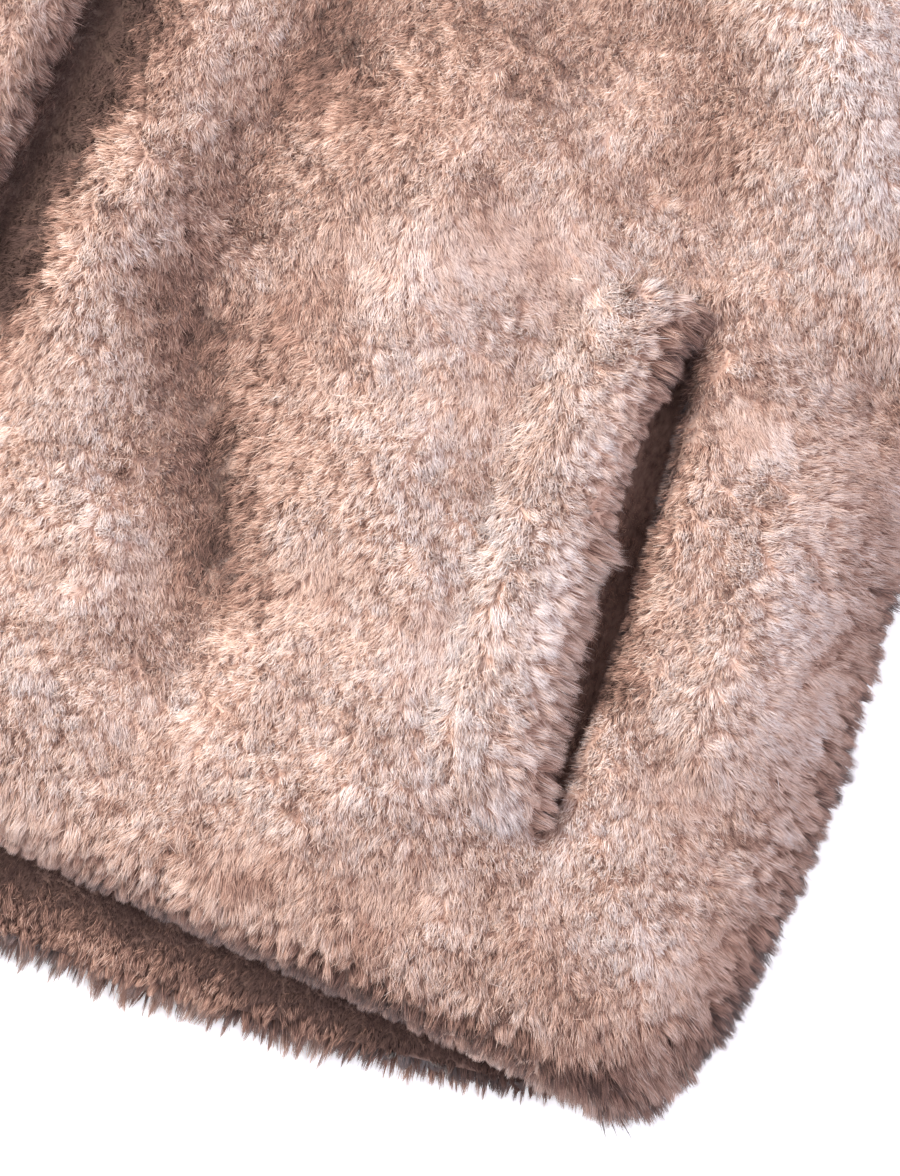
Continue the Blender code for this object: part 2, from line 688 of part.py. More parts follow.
back()
back_hem_facing()
front("front_left", 1, left_top, free_edge=False)
front("front_right", -1, right_top, free_edge=True)
sleeve("sleeve_left", 1, left_top)
sleeve("sleeve_right", -1, right_top)
collar()
pocket_welt("pocket_welt_left", 1, left_top)
pocket_welt("pocket_welt_right", -1, right_top)
pocket_bag("pocket_bag_left", 1, left_top)
pocket_bag("pocket_bag_right", -1, right_top)
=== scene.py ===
"""Looks of the cropped faux fur bomber jacket, laid flat.

Each CAD panel becomes a cloth backing with its pile grown on it. The pile is real geometry: single
tapered blades, gathered into small tufts, combed by a plan of directions, and split into pieces.
Metres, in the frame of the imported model: +X to the wearer's left, +Y to the collar, +Z out of the front.
"""

import math

import bpy
import numpy as np
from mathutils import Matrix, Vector
from mathutils.bvhtree import BVHTree
from mathutils.kdtree import KDTree


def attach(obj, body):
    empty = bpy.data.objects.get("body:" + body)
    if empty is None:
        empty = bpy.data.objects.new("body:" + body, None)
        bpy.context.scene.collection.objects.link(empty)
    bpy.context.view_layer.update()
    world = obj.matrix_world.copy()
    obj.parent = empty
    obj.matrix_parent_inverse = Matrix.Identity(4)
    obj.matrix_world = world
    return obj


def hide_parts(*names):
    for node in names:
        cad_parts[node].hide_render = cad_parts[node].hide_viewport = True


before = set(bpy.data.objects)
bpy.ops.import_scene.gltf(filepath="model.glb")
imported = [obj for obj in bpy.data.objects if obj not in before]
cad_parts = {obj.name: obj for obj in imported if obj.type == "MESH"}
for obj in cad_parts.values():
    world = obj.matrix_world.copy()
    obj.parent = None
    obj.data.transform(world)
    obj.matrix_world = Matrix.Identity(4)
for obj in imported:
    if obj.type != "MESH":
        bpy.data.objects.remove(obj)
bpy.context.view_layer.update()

# The photograph's frame, laid on the plan of the jacket
FRAME_SIZE = (900, 1176)  # pixels
FRAME_SCALE = 3800  # pixels a metre
FRAME_TURN = math.radians(24)  # the camera is turned by this about its line of sight
FRAME_ZERO = (-255, 726)  # pixel where the right front's free edge meets the front hem
ZERO_PLACE = (0.020, -0.29825)  # and its place in plan
FRAME_HEIGHT = 0.030  # the scale holds at this height
CAMERA_DISTANCE = 2.2
SENSOR = 36  # the camera's, in millimetres

# How dense the pile is
DENSE = 7.3e6  # strands a square metre inside the photograph's frame
SPARSE = 5.0e5  # and well outside it, where each strand is wider
FEATHER = (0.004, 0.046)  # distance outside the frame over which the one becomes the other
TUFTS_DENSE = 1.15e5  # tufts a square metre inside the frame
TUFTS_SPARSE = 2.2e4  # and well outside it
STRAND_WIDTH = 0.00027
SPARSE_WIDTH = 3.9  # a strand is this many times as wide outside the frame
PIECE_STRANDS = 190000  # most strands in a piece

# How it stands
PILE_BASE = 0.0022  # the dense lower pile ends this far out of the panel's face
PILE_LENGTH = 0.0054  # and the loose tips run on from there
PILE_ROOT = 0.0006  # strands start this deep in the lower pile
FLOOR_GAP = 0.0004  # and stay this far off the floor
LEAN = math.radians(26)  # of a tuft from the surface's normal
FLAT_LEAN = math.radians(52)  # and in the smooth places
LEAN_SPREAD = 0.13  # standard deviations in radians: of the lean
LAY_SPREAD = 0.24  # and of the way it leans
REACH_RANGE = (0.88, 1.12)  # shares of a tuft's length
SPIKE_RANGE = (-0.3, 0.5)  # and what is added where tufts end in points
GATHER = 0.20  # share of the way that a strand's tip goes to its tuft's tip
SPIKE_GATHER = 0.62  # what is added to it where tufts end in points
GATHER_RANGE = (0.5, 1.25)
CRACK_WIDTH = 0.22  # of the gaps between tufts, as a share of their spacing
CRACK_SHORTER = 0.40  # what a gap takes off a strand's length
RIM_SHORTER = 0.10  # and what the rim of a tuft takes off
LONG_RANGE = (0.84, 1.06)
WIDTH_RANGE = (0.7, 1.3)
STRAYS = 0.05  # share of the strands that stand out of their tufts
STRAY_LONGER = 0.35
SWAY, STRAY_SWAY = 0.18, 0.20  # how far strands turn from their tuft's way, and what strays add
TWIST = 0.6  # radians that a strand is turned about itself at most
TUFT_MIDDLE = 0.0012  # a tuft's middle, where normals don't yet turn out, is about so wide
BULGE = 0.25  # how far they turn out round it
BULGE_SPREAD = 0.12
TIP_TURN = 0.2  # and how far a tip's normal turns the way the tuft leans

# Its tone, from 0 dark to 1 pale
BASE_TONE = 0.775
TUFT_SPREAD, STRAND_SPREAD = 0.030, 0.10  # standard deviations
# Painted shade on the strands in the gaps between tufts, over the darker roots that show there
CRACK_PAINTED_SHADE = 0.42
# Painted shade on the strands along the partings
PARTING_PAINTED_SHADE = 0.6
FROST, FROST_SHARE = 0.17, 0.30  # this share of the strands is paler by so much
OUTER_PAINTED_SHADE = -0.14  # painted shade outside the frame, where the strands shade each other less
OUTER_SHADE = 0.26  # and painted shade on the lower pile there
TIP_START = 0.7  # a strand has its tip's colour from this share of its length on

# The map that a strand is coloured by: its tone across, and root to tip up
MAP_TONES = (0.03, 0.97)
MAP_ROOT, MAP_TIP = 0.02, 0.99
MAP_HALF = 0.012  # half a root's width on it

# Panels
OPEN_REACH = 2.0  # a point from which a ray this long meets nothing counts as outside
OPEN_START = 0.0003  # the ray starts this far off the face
CURVE = 0.6  # how far the CAD's flat facets are bent to their corners' normals
BACK_DEPTH = 0.004  # the back's lower pile lies this deep in it, so that it lies flat
BACKING_LIFT = 0.001  # how far a panel's inner face moves out of it
FACING_BASE = 0.0006  # the facing's lower pile
UNDERNEATH = -0.9  # a face whose normal's Z is under this lies on the floor

# The pocket slit's ends in plan, on the wearer's left, and its welt
SLIT_TOP = (0.204, 0.1975 + ZERO_PLACE[1])
SLIT_BOTTOM = (0.222, 0.060 + ZERO_PLACE[1])
SLIT_MIDDLE = 0.5 * np.add(SLIT_TOP, SLIT_BOTTOM)
SLIT_HALF_WIDTH = 0.0085
SLIT_REACH = 0.0105  # the lower pile thins out this near to the slit's line
SLIT_THINNING = 0.85  # by this share
SLIT_ZONE = (0.022, 0.080)  # the pocket bag has pile this far from the slit's middle, across and along
WELT_WIDTH = 0.029
WELT_LENGTH = 0.0068  # of its pile
WELT_LAY = (0.86, 0.50)  # right and down in the photograph, over the slit
RIGHT_WELT_LAY = (-0.9, -0.3)

# The hems: the front's lower corner, and how far the back's hem dips below it in the middle
HEM_CORNER = (0.268, 0.001 + ZERO_PLACE[1])
BACK_HEM_DIP = 0.028

# The grid of the plan fields
GRID_STEP = 0.002
GRID_MIN = (-0.69, -0.355)
GRID_MAX = (0.69, 0.355)


def ease(value, start, end):
    """0 up to the start, 1 from the end on, and smooth between."""
    t = np.clip((value - start) / (end - start), 0, 1)
    return t * t * (3 - 2 * t)


def unit(v):
    """Vectors brought to length 1."""
    return v / np.maximum(np.linalg.norm(v, axis=-1, keepdims=True), 1e-12)


def dot(a, b):
    """Dot products, each in a column of its own."""
    return (a * b).sum(-1, keepdims=True)


def to_plan(px, py):
    """The plan place of a pixel of the photograph."""
    dx, dy = (px - FRAME_ZERO[0]) / FRAME_SCALE, (py - FRAME_ZERO[1]) / FRAME_SCALE
    cos, sin = math.cos(FRAME_TURN), math.sin(FRAME_TURN)
    return ZERO_PLACE[0] + dx * cos + dy * sin, ZERO_PLACE[1] + dx * sin - dy * cos


def to_pixel(x, y):
    """The pixel of a plan place, the other way round."""
    x, y = (x - ZERO_PLACE[0]) * FRAME_SCALE, (y - ZERO_PLACE[1]) * FRAME_SCALE
    cos, sin = math.cos(FRAME_TURN), math.sin(FRAME_TURN)
    return FRAME_ZERO[0] + x * cos + y * sin, FRAME_ZERO[1] + x * sin - y * cos


def turned(dx, dy):
    """A direction in the photograph, down its pixels, as a plan direction."""
    cos, sin = math.cos(FRAME_TURN), math.sin(FRAME_TURN)
    return dx * cos + dy * sin, dx * sin - dy * cos


# ---- plan fields: folds, tone with its painted shade and highlight, and the comb ----

# Soft folds in the photograph, and bands along edges, lips and gaps: points and width in pixels, rise in
# metres, tone from -1 to 1, painted shade below 0 and painted highlight above it
PHOTO_FOLDS_AND_PAINTED_LIGHT = [
    # Painted shadow beside the right front's overlapping edge
    {"path": [(120, -30), (78, 90), (32, 180), (-10, 280)], "width": 46, "rise": -0.001, "tone": -0.74},
    {"path": [(175, -30), (130, 60), (60, 190), (10, 280)], "width": 60, "rise": 0, "tone": -0.24},
    {"path": [(150, 20), (135, 60)], "width": 46, "rise": 0, "tone": -0.22},
    {"path": [(0, 610), (110, 640)], "width": 50, "rise": 0, "tone": -0.12},
    {"path": [(0, 810), (90, 850)], "width": 30, "rise": 0, "tone": -0.12},
    {"path": [(700, 150), (790, 130)], "width": 50, "rise": 0, "tone": -0.20},
    {"path": [(540, 400), (545, 480)], "width": 45, "rise": 0, "tone": -0.14},
    {"path": [(345, 70), (330, 240), (300, 340)], "width": 60, "rise": 0, "tone": -0.09},
    {"path": [(255, 340), (262, 420)], "width": 40, "rise": 0, "tone": -0.10},
    {"path": [(330, 30), (270, 120), (232, 190)], "width": 52, "rise": -0.003, "tone": -0.34},
    {"path": [(182, 290), (190, 340), (204, 410), (220, 480), (222, 590)],
     "width": 52, "rise": -0.003, "tone": -0.42},
    {"path": [(160, 270), (190, 240)], "width": 30, "rise": 0, "tone": -0.08},
    {"path": [(216, 400), (230, 560)], "width": 24, "rise": -0.001, "tone": -0.14},
    {"path": [(150, 440), (190, 540)], "width": 30, "rise": 0, "tone": -0.12},
    {"path": [(340, 60), (430, 140)], "width": 60, "rise": 0, "tone": -0.12},
    {"path": [(240, 650), (330, 630)], "width": 50, "rise": 0, "tone": -0.08},
    {"path": [(130, 180), (100, 250), (70, 330)], "width": 46, "rise": 0.002, "tone": 0.12},
    {"path": [(110, 400), (95, 520), (90, 600)], "width": 42, "rise": 0.0015, "tone": 0.10},
    {"path": [(0, 620), (80, 700)], "width": 50, "rise": 0.001, "tone": 0.08},
    {"path": [(440, 180), (400, 330), (400, 500), (410, 640), (400, 790)],
     "width": 60, "rise": 0.0015, "tone": 0.10},
    {"path": [(290, 600), (230, 740), (280, 800)], "width": 48, "rise": 0.001, "tone": 0.08},
    {"path": [(770, 560), (740, 650), (715, 740)], "width": 42, "rise": 0.0025, "tone": 0.12},
    {"path": [(650, 730), (690, 790), (720, 850)], "width": 34, "rise": -0.0015, "tone": -0.14},
    {"path": [(600, 830), (640, 930)], "width": 44, "rise": 0.001, "tone": 0.10},
    {"path": [(300, 860), (380, 940)], "width": 40, "rise": 0, "tone": -0.10},
    {"path": [(480, 900), (570, 990)], "width": 38, "rise": 0, "tone": -0.08},
    {"path": [(560, 1090), (690, 1010), (730, 930)], "width": 34, "rise": 0, "tone": -0.16},
    {"path": [(880, 380), (870, 480), (890, 580)], "width": 34, "rise": -0.002, "tone": -0.14},
    {"path": [(380, -10), (520, 40), (700, 40)], "width": 70, "rise": -0.001, "tone": -0.22},
    {"path": [(700, 170), (720, 200)], "width": 34, "rise": -0.0015, "tone": -0.16},
    {"path": [(830, 0), (860, 120), (870, 200)], "width": 55, "rise": 0.0015, "tone": 0.16},
    {"path": [(750, 270), (850, 380)], "width": 50, "rise": -0.0015, "tone": -0.04},
    {"path": [(620, 340), (560, 440), (500, 600)], "width": 48, "rise": 0, "tone": 0.06},
    # Painted shade along the right side, where the edge turns away from the light
    {"path": [(898, 600), (868, 700), (826, 820), (780, 930), (727, 1030), (678, 1095), (610, 1128)],
     "width": 26, "rise": 0, "tone": -0.66},
    {"path": [(590, 760), (640, 700), (690, 600)], "width": 40, "rise": 0, "tone": -0.06},
    {"path": [(200, 60), (300, 40)], "width": 60, "rise": 0, "tone": 0.10},
    {"path": [(20, 340), (40, 420)], "width": 60, "rise": 0, "tone": -0.10},
    {"path": [(300, 330), (360, 560)], "width": 60, "rise": 0, "tone": -0.11},
    {"path": [(730, 620), (650, 830), (560, 930)], "width": 60, "rise": 0, "tone": -0.05},
    # Painted highlight along the front hem
    {"path": [(-20, 820), (140, 885), (300, 950), (440, 1000), (600, 1060)],
     "width": 20, "rise": 0, "tone": 0.03},
    {"path": [(180, 860), (330, 930), (480, 990), (600, 1030)], "width": 50, "rise": 0, "tone": -0.13},
    {"path": [(130, 760), (400, 800)], "width": 80, "rise": 0, "tone": -0.09},
    {"path": [(380, 160), (520, 180)], "width": 60, "rise": 0, "tone": -0.08},
    {"path": [(640, 730), (665, 765)], "width": 40, "rise": 0, "tone": 0.10},
    # Painted shade where the front hem turns under
    {"path": [(-20, 838), (75, 874), (150, 902), (240, 936), (325, 970), (400, 1000), (475, 1028),
              (610, 1078)],
     "width": 14, "rise": 0, "tone": -0.54},
    # Painted shade on the slit's right lip and in the crease below the slit
    {"path": [(690, 345), (658, 470), (634, 560), (600, 680)], "width": 30, "rise": -0.0015, "tone": -0.64},
    {"path": [(562, 770), (545, 835)], "width": 10, "rise": -0.001, "tone": -0.36},
    {"path": [(590, 470), (545, 600), (520, 740)], "width": 40, "rise": 0, "tone": 0.10},
]

# Partings, where the pile opens down to its roots: points and width in pixels, and dark, the painted shade
# laid on the strands along them
PHOTO_PARTINGS = [
    {"path": [(475, 8), (515, 35), (558, 58), (590, 85)], "width": 5, "dark": 0.8},
    {"path": [(528, 92), (547, 106)], "width": 5, "dark": 0.7},
    {"path": [(206, 312), (232, 328)], "width": 5, "dark": 0.6},
    {"path": [(92, 452), (128, 482)], "width": 4, "dark": 0.5},
    {"path": [(130, 430), (148, 462)], "width": 4, "dark": 0.5},
    {"path": [(80, 470), (120, 500)], "width": 5, "dark": 0.25},
    {"path": [(110, 480), (150, 500)], "width": 5, "dark": 0.25},
    {"path": [(730, 380), (762, 404)], "width": 5, "dark": 0.6},
    {"path": [(805, 664), (850, 618)], "width": 5, "dark": 0.6},
    {"path": [(790, 545), (812, 570)], "width": 5, "dark": 0.3},
    {"path": [(640, 180), (655, 200)], "width": 6, "dark": 0.3},
]

# Where the pile is shorter or longer: points and width in pixels, and the share of length there
PHOTO_LENGTHS = [
    {"path": [(115, -20), (80, 80), (45, 150), (0, 215), (-45, 320)], "width": 34, "length": 0.6},
    {"path": [(712, 345), (655, 520), (575, 800)], "width": 26, "length": 0.6},
    {"path": [(648, 412), (606, 505)], "width": 24, "length": 0.5},
    {"path": [(598, 540), (585, 580)], "width": 20, "length": 1.25},
]
# The same in metres of plan: long fibres hang over the front hem
LENGTHS = [
    {"path": [(-0.26, -0.285), (0.255, -0.285)], "width": 0.007, "length": 1.5},
    {"path": [(-0.27, -0.298), (0.255, -0.298)], "width": 0.006, "length": 0.5},
    {"path": [(0.252, -0.297), (0.270, -0.293), (0.280, -0.283)], "width": 0.008, "length": 1.4},
]
PARTED_LENGTH = 0.5  # what a parting takes off the length

# The same for the rest of the jacket, in metres of plan: first the painted shadow beside the right front's
# edge, then folds
BODY_FOLDS_AND_PAINTED_LIGHT = [
    {"path": [(0.0300, -0.070), (0.0300, 0.030), (0.0260, 0.125)],
     "width": 0.009, "rise": -0.0005, "tone": -0.32},
    {"path": [(0.0312, -0.162), (0.0290, -0.220), (0.0260, -0.280)],
     "width": 0.009, "rise": -0.0005, "tone": -0.36},
    {"path": [(0.206, 0.020), (0.222, -0.036)], "width": 0.024, "rise": 0.002, "tone": 0.10},
    {"path": [(0.095, 0.130), (0.080, 0.010)], "width": 0.022, "rise": 0.002, "tone": 0.10},
    {"path": [(0.250, 0.047), (0.160, 0.122)], "width": 0.018, "rise": -0.002, "tone": -0.22},
    {"path": [(0.225, 0.102), (0.150, 0.172)], "width": 0.020, "rise": 0.002, "tone": 0.12},
    {"path": [(0.060, 0.150), (0.052, 0.060)], "width": 0.016, "rise": -0.002, "tone": -0.16},
    {"path": [(-0.098, -0.048), (-0.108, -0.148)], "width": 0.013, "rise": -0.003, "tone": -0.28},
    {"path": [(-0.110, -0.158), (-0.124, -0.248)], "width": 0.014, "rise": -0.002, "tone": -0.20},
    {"path": [(-0.140, 0.002), (-0.146, -0.083)], "width": 0.020, "rise": 0.002, "tone": 0.12},
    {"path": [(-0.060, -0.05), (-0.066, -0.19)], "width": 0.016, "rise": 0.0015, "tone": 0.10},
    {"path": [(-0.190, 0.032), (-0.205, -0.043)], "width": 0.020, "rise": 0.002, "tone": 0.10},
    {"path": [(-0.250, -0.148), (-0.256, -0.218)], "width": 0.013, "rise": 0.002, "tone": 0.10},
    {"path": [(-0.110, 0.152), (-0.098, 0.042)], "width": 0.022, "rise": 0.002, "tone": 0.10},
    {"path": [(-0.252, 0.042), (-0.150, 0.102)], "width": 0.018, "rise": -0.002, "tone": -0.22},
    {"path": [(-0.215, 0.112), (-0.140, 0.182)], "width": 0.020, "rise": 0.002, "tone": 0.12},
]
# And for a sleeve, on the wearer's left and mirrored for the right one, with the same painted shade and
# highlight
SLEEVE_FOLDS = [
    {"path": [(0.300, 0.052), (0.370, 0.132)], "width": 0.016, "rise": -0.002, "tone": -0.22},
    {"path": [(0.345, 0.022), (0.430, 0.097)], "width": 0.018, "rise": 0.002, "tone": 0.12},
    {"path": [(0.425, -0.063), (0.500, 0.002)], "width": 0.014, "rise": -0.002, "tone": -0.24},
    {"path": [(0.408, -0.008), (0.470, 0.047)], "width": 0.015, "rise": 0.002, "tone": 0.12},
    {"path": [(0.490, -0.108), (0.560, -0.053)], "width": 0.015, "rise": 0.002, "tone": 0.12},
    {"path": [(0.560, -0.178), (0.610, -0.123)], "width": 0.013, "rise": -0.0015, "tone": -0.20},
]

# The way the pile lies in the photograph: place, direction (right, down) and reach in pixels
PHOTO_COMB = [
    {"at": (840, 480), "lay": (1.0, 0.10), "reach": 75},
    {"at": (830, 620), "lay": (0.95, 0.30), "reach": 80},
    {"at": (780, 780), "lay": (0.85, 0.45), "reach": 75},
    {"at": (720, 930), "lay": (0.70, 0.70), "reach": 65},
    {"at": (640, 1060), "lay": (0.20, 1.0), "reach": 60},
    {"at": (672, 450), "lay": (-0.8, 0.55), "reach": 34},
    {"at": (645, 590), "lay": (-0.8, 0.55), "reach": 34},
    {"at": (600, 700), "lay": (-0.7, 0.70), "reach": 32},
    {"at": (745, 410), "lay": (0.6, 0.70), "reach": 48},
    {"at": (770, 520), "lay": (0.9, 0.30), "reach": 50},
    {"at": (380, 280), "lay": (0.55, 0.80), "reach": 75},
    {"at": (230, 240), "lay": (0.85, 0.45), "reach": 46},
    {"at": (540, 290), "lay": (0.75, 0.60), "reach": 70},
    {"at": (840, 90), "lay": (0.3, 0.95), "reach": 90},
    {"at": (480, 780), "lay": (0.2, 1.0), "reach": 70},
]
# Places where it lies flatter and looks smooth
PHOTO_SMOOTH = [
    {"at": (385, 270), "reach": 80},
    {"at": (500, 240), "reach": 60},
    {"at": (330, 570), "reach": 45},
    {"at": (745, 420), "reach": 42},
    {"at": (240, 860), "reach": 40},
    {"at": (560, 300), "reach": 48},
]

COMB_STRENGTH = 3  # of a combed place, where 1 is the usual lay's
SMOOTH_DARK = 0.09  # what a smooth place takes off the tone

grid_x = np.arange(GRID_MIN[0], GRID_MAX[0], GRID_STEP)
grid_y = np.arange(GRID_MIN[1], GRID_MAX[1], GRID_STEP)
PLAN_X, PLAN_Y = np.meshgrid(grid_x, grid_y)


def away_from(path):
    """Distance of every grid point to a line through plan points."""
    nearest = np.full(PLAN_X.shape, np.inf)
    for (ax, ay), (bx, by) in zip(path, path[1:]):
        dx, dy = bx - ax, by - ay
        share = ((PLAN_X - ax) * dx + (PLAN_Y - ay) * dy) / (dx * dx + dy * dy)
        share = np.clip(share, 0, 1)
        nearest = np.minimum(nearest, np.hypot(PLAN_X - ax - share * dx, PLAN_Y - ay - share * dy))
    return nearest


def near_line(fold):
    """1 on a fold's line, falling off over its width, at every grid point."""
    return np.exp(-((away_from(fold["path"]) / fold["width"]) ** 2))


def near_spot(spot):
    """The same about a place in the photograph, over its reach."""
    x, y = to_plan(*spot["at"])
    return np.exp(-((np.hypot(PLAN_X - x, PLAN_Y - y) * FRAME_SCALE / spot["reach"]) ** 2))


def in_plan(fold):
    """A fold given in pixels, in metres of plan."""
    path = [to_plan(*point) for point in fold["path"]]
    return {**fold, "path": path, "width": fold["width"] / FRAME_SCALE}


def mirrored(fold):
    """A fold on the jacket's other side."""
    return {**fold, "path": [(-x, y) for x, y in fold["path"]]}


def waves(x, y, length, seed, count=14):
    """Smooth noise from -1 to 1: sines across the plan in many directions."""
    rng = np.random.default_rng(seed)
    total = np.zeros(np.shape(x))
    for _ in range(count):
        angle, phase = rng.uniform(0, 2 * math.pi, 2)
        k = 2 * math.pi / (length * rng.uniform(0.7, 1.6))
        total += np.sin(k * (x * math.cos(angle) + y * math.sin(angle)) + phase)
    return total * math.sqrt(2 / count) * 0.6


def comb_angle():
    """The way the pile lies: down to the hems, outwards at the sides, along the sleeves, and as combed."""
    side = np.abs(PLAN_X)
    lay_x = np.sign(PLAN_X) * 0.45 * ease(side, 0.15, 0.27)
    lay_y = -np.ones(PLAN_X.shape)
    sleeve = ease(side, 0.25, 0.31)
    lay_x = lay_x * (1 - sleeve) + sleeve * np.sign(PLAN_X) * 0.66
    lay_y = lay_y * (1 - sleeve) - sleeve * 0.75
    for comb in PHOTO_COMB:
        near = COMB_STRENGTH * near_spot(comb)
        dx, dy = turned(*comb["lay"])
        lay_x += near * dx
        lay_y += near * dy
    angle = np.arctan2(lay_y, lay_x)
    angle += 0.30 * waves(PLAN_X, PLAN_Y, 0.028, 7) + 0.22 * waves(PLAN_X, PLAN_Y, 0.010, 8)
    return angle


def plan_fields():
    """The named fields at every grid point, which field() reads."""
    folds_and_painted_light = [in_plan(fold) for fold in PHOTO_FOLDS_AND_PAINTED_LIGHT] + BODY_FOLDS_AND_PAINTED_LIGHT + SLEEVE_FOLDS
    folds_and_painted_light += [mirrored(fold) for fold in SLEEVE_FOLDS]
    rise = np.zeros(PLAN_X.shape)
    tone = 0.05 * waves(PLAN_X, PLAN_Y, 0.030, 5) + 0.05 * waves(PLAN_X, PLAN_Y, 0.012, 6)
    # Each fold adds its rise, and its tone: painted shade where negative, painted highlight where positive.
    for fold in folds_and_painted_light:
        near = near_line(fold)
        rise += fold["rise"] * near
        tone += fold["tone"] * near
    parting, length = np.zeros(PLAN_X.shape), np.ones(PLAN_X.shape)
    for fold in map(in_plan, PHOTO_PARTINGS):
        near = near_line(fold)
        parting += fold["dark"] * near
        length *= 1 - PARTED_LENGTH * near
    for place in [in_plan(place) for place in PHOTO_LENGTHS] + LENGTHS:
        length *= 1 + (place["length"] - 1) * near_line(place)
    slits = [SLIT_TOP, SLIT_BOTTOM], [(-SLIT_TOP[0], SLIT_TOP[1]), (-SLIT_BOTTOM[0], SLIT_BOTTOM[1])]
    near = np.minimum(away_from(slits[0]), away_from(slits[1])) / SLIT_REACH
    base = 1 - SLIT_THINNING * np.exp(-(near**2))
    smooth = np.zeros(PLAN_X.shape)
    for spot in PHOTO_SMOOTH:
        smooth += near_spot(spot)
    smooth = np.clip(smooth + 0.35 * waves(PLAN_X, PLAN_Y, 0.045, 9), 0, 1)
    tone -= SMOOTH_DARK * smooth
    cracks = 0.35 + 0.5 * waves(PLAN_X, PLAN_Y, 0.022, 10) + 0.9 * waves(PLAN_X, PLAN_Y, 0.006, 11)
    angle = comb_angle()
    slope_y, slope_x = np.gradient(rise, GRID_STEP)
    return {
        "rise": rise,
        "slope_x": slope_x,
        "slope_y": slope_y,
        "tone": tone,
        "parting": parting,
        "length": length,
        "base": base,
        "cracks": np.clip(cracks, 0.05, 1.3) * (1 - 0.7 * smooth),
        "lay_x": np.cos(angle),
        "lay_y": np.sin(angle),
        "smooth": smooth,
    }


FIELDS = plan_fields()


def field(name, points):
    """A plan field's value at each point, by bilinear interpolation."""
    grid = FIELDS[name]
    u = np.clip((points[:, 0] - GRID_MIN[0]) / GRID_STEP, 0, grid.shape[1] - 1.001)
    v = np.clip((points[:, 1] - GRID_MIN[1]) / GRID_STEP, 0, grid.shape[0] - 1.001)
    i, j = u.astype(int), v.astype(int)
    u, v = u - i, v - j
    low = grid[j, i] * (1 - u) + grid[j, i + 1] * u
    high = grid[j + 1, i] * (1 - u) + grid[j + 1, i + 1] * u
    return low * (1 - v) + high * v


def outside_frame(points):
    """How far each point's plan place lies outside the photograph's frame."""
    px, py = to_pixel(points[:, 0], points[:, 1])
    over = np.maximum(np.maximum(-px, px - FRAME_SIZE[0]), np.maximum(-py, py - FRAME_SIZE[1]))
    return np.maximum(over, 0) / FRAME_SCALE


def fineness(points):
    """1 in the photograph's frame, 0 well outside it."""
    return 1 - ease(outside_frame(points), *FEATHER)


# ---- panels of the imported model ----


class Panel:
    """A CAD node's triangles, which of them face outside, and normals for its corners."""

    def __init__(self, name):
        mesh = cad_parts[name].data
        mesh.calc_loop_triangles()
        points = np.empty(len(mesh.vertices) * 3)
        mesh.vertices.foreach_get("co", points)
        corners = np.empty(len(mesh.loop_triangles) * 3, np.int32)
        mesh.loop_triangles.foreach_get("vertices", corners)
        rounded, place = np.unique(np.round(points.reshape(-1, 3), 6), axis=0, return_inverse=True)
        faces = place.reshape(-1)[corners.reshape(-1, 3)]
        whole = (faces != np.roll(faces, 1, axis=1)).all(1)
        self.points, self.faces = rounded, faces[whole]
        a, b, c = (self.points[self.faces[:, k]] for k in range(3))
        cross = np.cross(b - a, c - a)
        self.areas = 0.5 * np.linalg.norm(cross, axis=1)
        self.flat = unit(cross)
        self.centres = (a + b + c) / 3

    def look(self, around):
        """Finds the faces that see the open anywhere, and the corners' normals over those."""
        self.outside = is_open(around, self.centres, self.flat)
        for k in range(3):
            near_corner = 0.8 * self.points[self.faces[:, k]] + 0.2 * self.centres
            self.outside |= is_open(around, near_corner, self.flat)
        every = self.corner_sums(np.ones(len(self.faces), bool))
        outer = self.corner_sums(self.outside)
        self.on_outside = np.linalg.norm(outer, axis=1) > 1e-12
        self.normals = unit(np.where(self.on_outside[:, None], outer, every))

    def corner_sums(self, chosen):
        """For each corner the chosen faces' normals, added up by area."""
        total = np.zeros(self.points.shape)
        for k in range(3):
            np.add.at(total, self.faces[chosen, k], self.flat[chosen] * self.areas[chosen, None])
        return total


def is_open(tree, points, normals):
    """Whether each point sees the open: straight out, tilted up, or level with a slight rise."""
    found = []
    tilts = [((1, 1, 1), 0), ((1, 1, 1), 0.7), ((1, 1, 0), 0.2)]
    for place, normal in zip(points + normals * OPEN_START, normals):
        seen = False
        for keep, rise in tilts:
            way = Vector((normal[0] * keep[0], normal[1] * keep[1], normal[2] * keep[2] + rise))
            if not seen and way.length > 0.4:
                seen = tree.ray_cast(Vector(place), way.normalized(), OPEN_REACH)[0] is None
        found.append(seen)
    return np.array(found, bool)


PANELS = {name: Panel(name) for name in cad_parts}
all_points, all_faces, shift = [], [], 0
for panel in PANELS.values():
    all_points.append(panel.points)
    all_faces.append(panel.faces + shift)
    shift += len(panel.points)
JACKET = BVHTree.FromPolygons(np.concatenate(all_points).tolist(), np.concatenate(all_faces).tolist())
for panel in PANELS.values():
    panel.look(JACKET)


def bent(places, weights, corners, normals):
    """Points on triangles or edges, bent from the flat towards their corners' tangent planes."""
    pulled = np.zeros(places.shape)
    for k in range(weights.shape[1]):
        off = dot(places - corners[:, k], normals[:, k])
        pulled += weights[:, k, None] * (places - off * normals[:, k])
    return places + CURVE * (pulled - places)


def raised(points, normals):
    """Points and normals with the listed folds added, on what faces up."""
    up = np.clip(normals[:, 2:3], 0, 1)
    points = points.copy()
    points[:, 2] += field("rise", points) * up[:, 0]
    slope = np.stack([field("slope_x", points), field("slope_y", points), np.zeros(len(points))], axis=1)
    return points, unit(normals - slope * up)


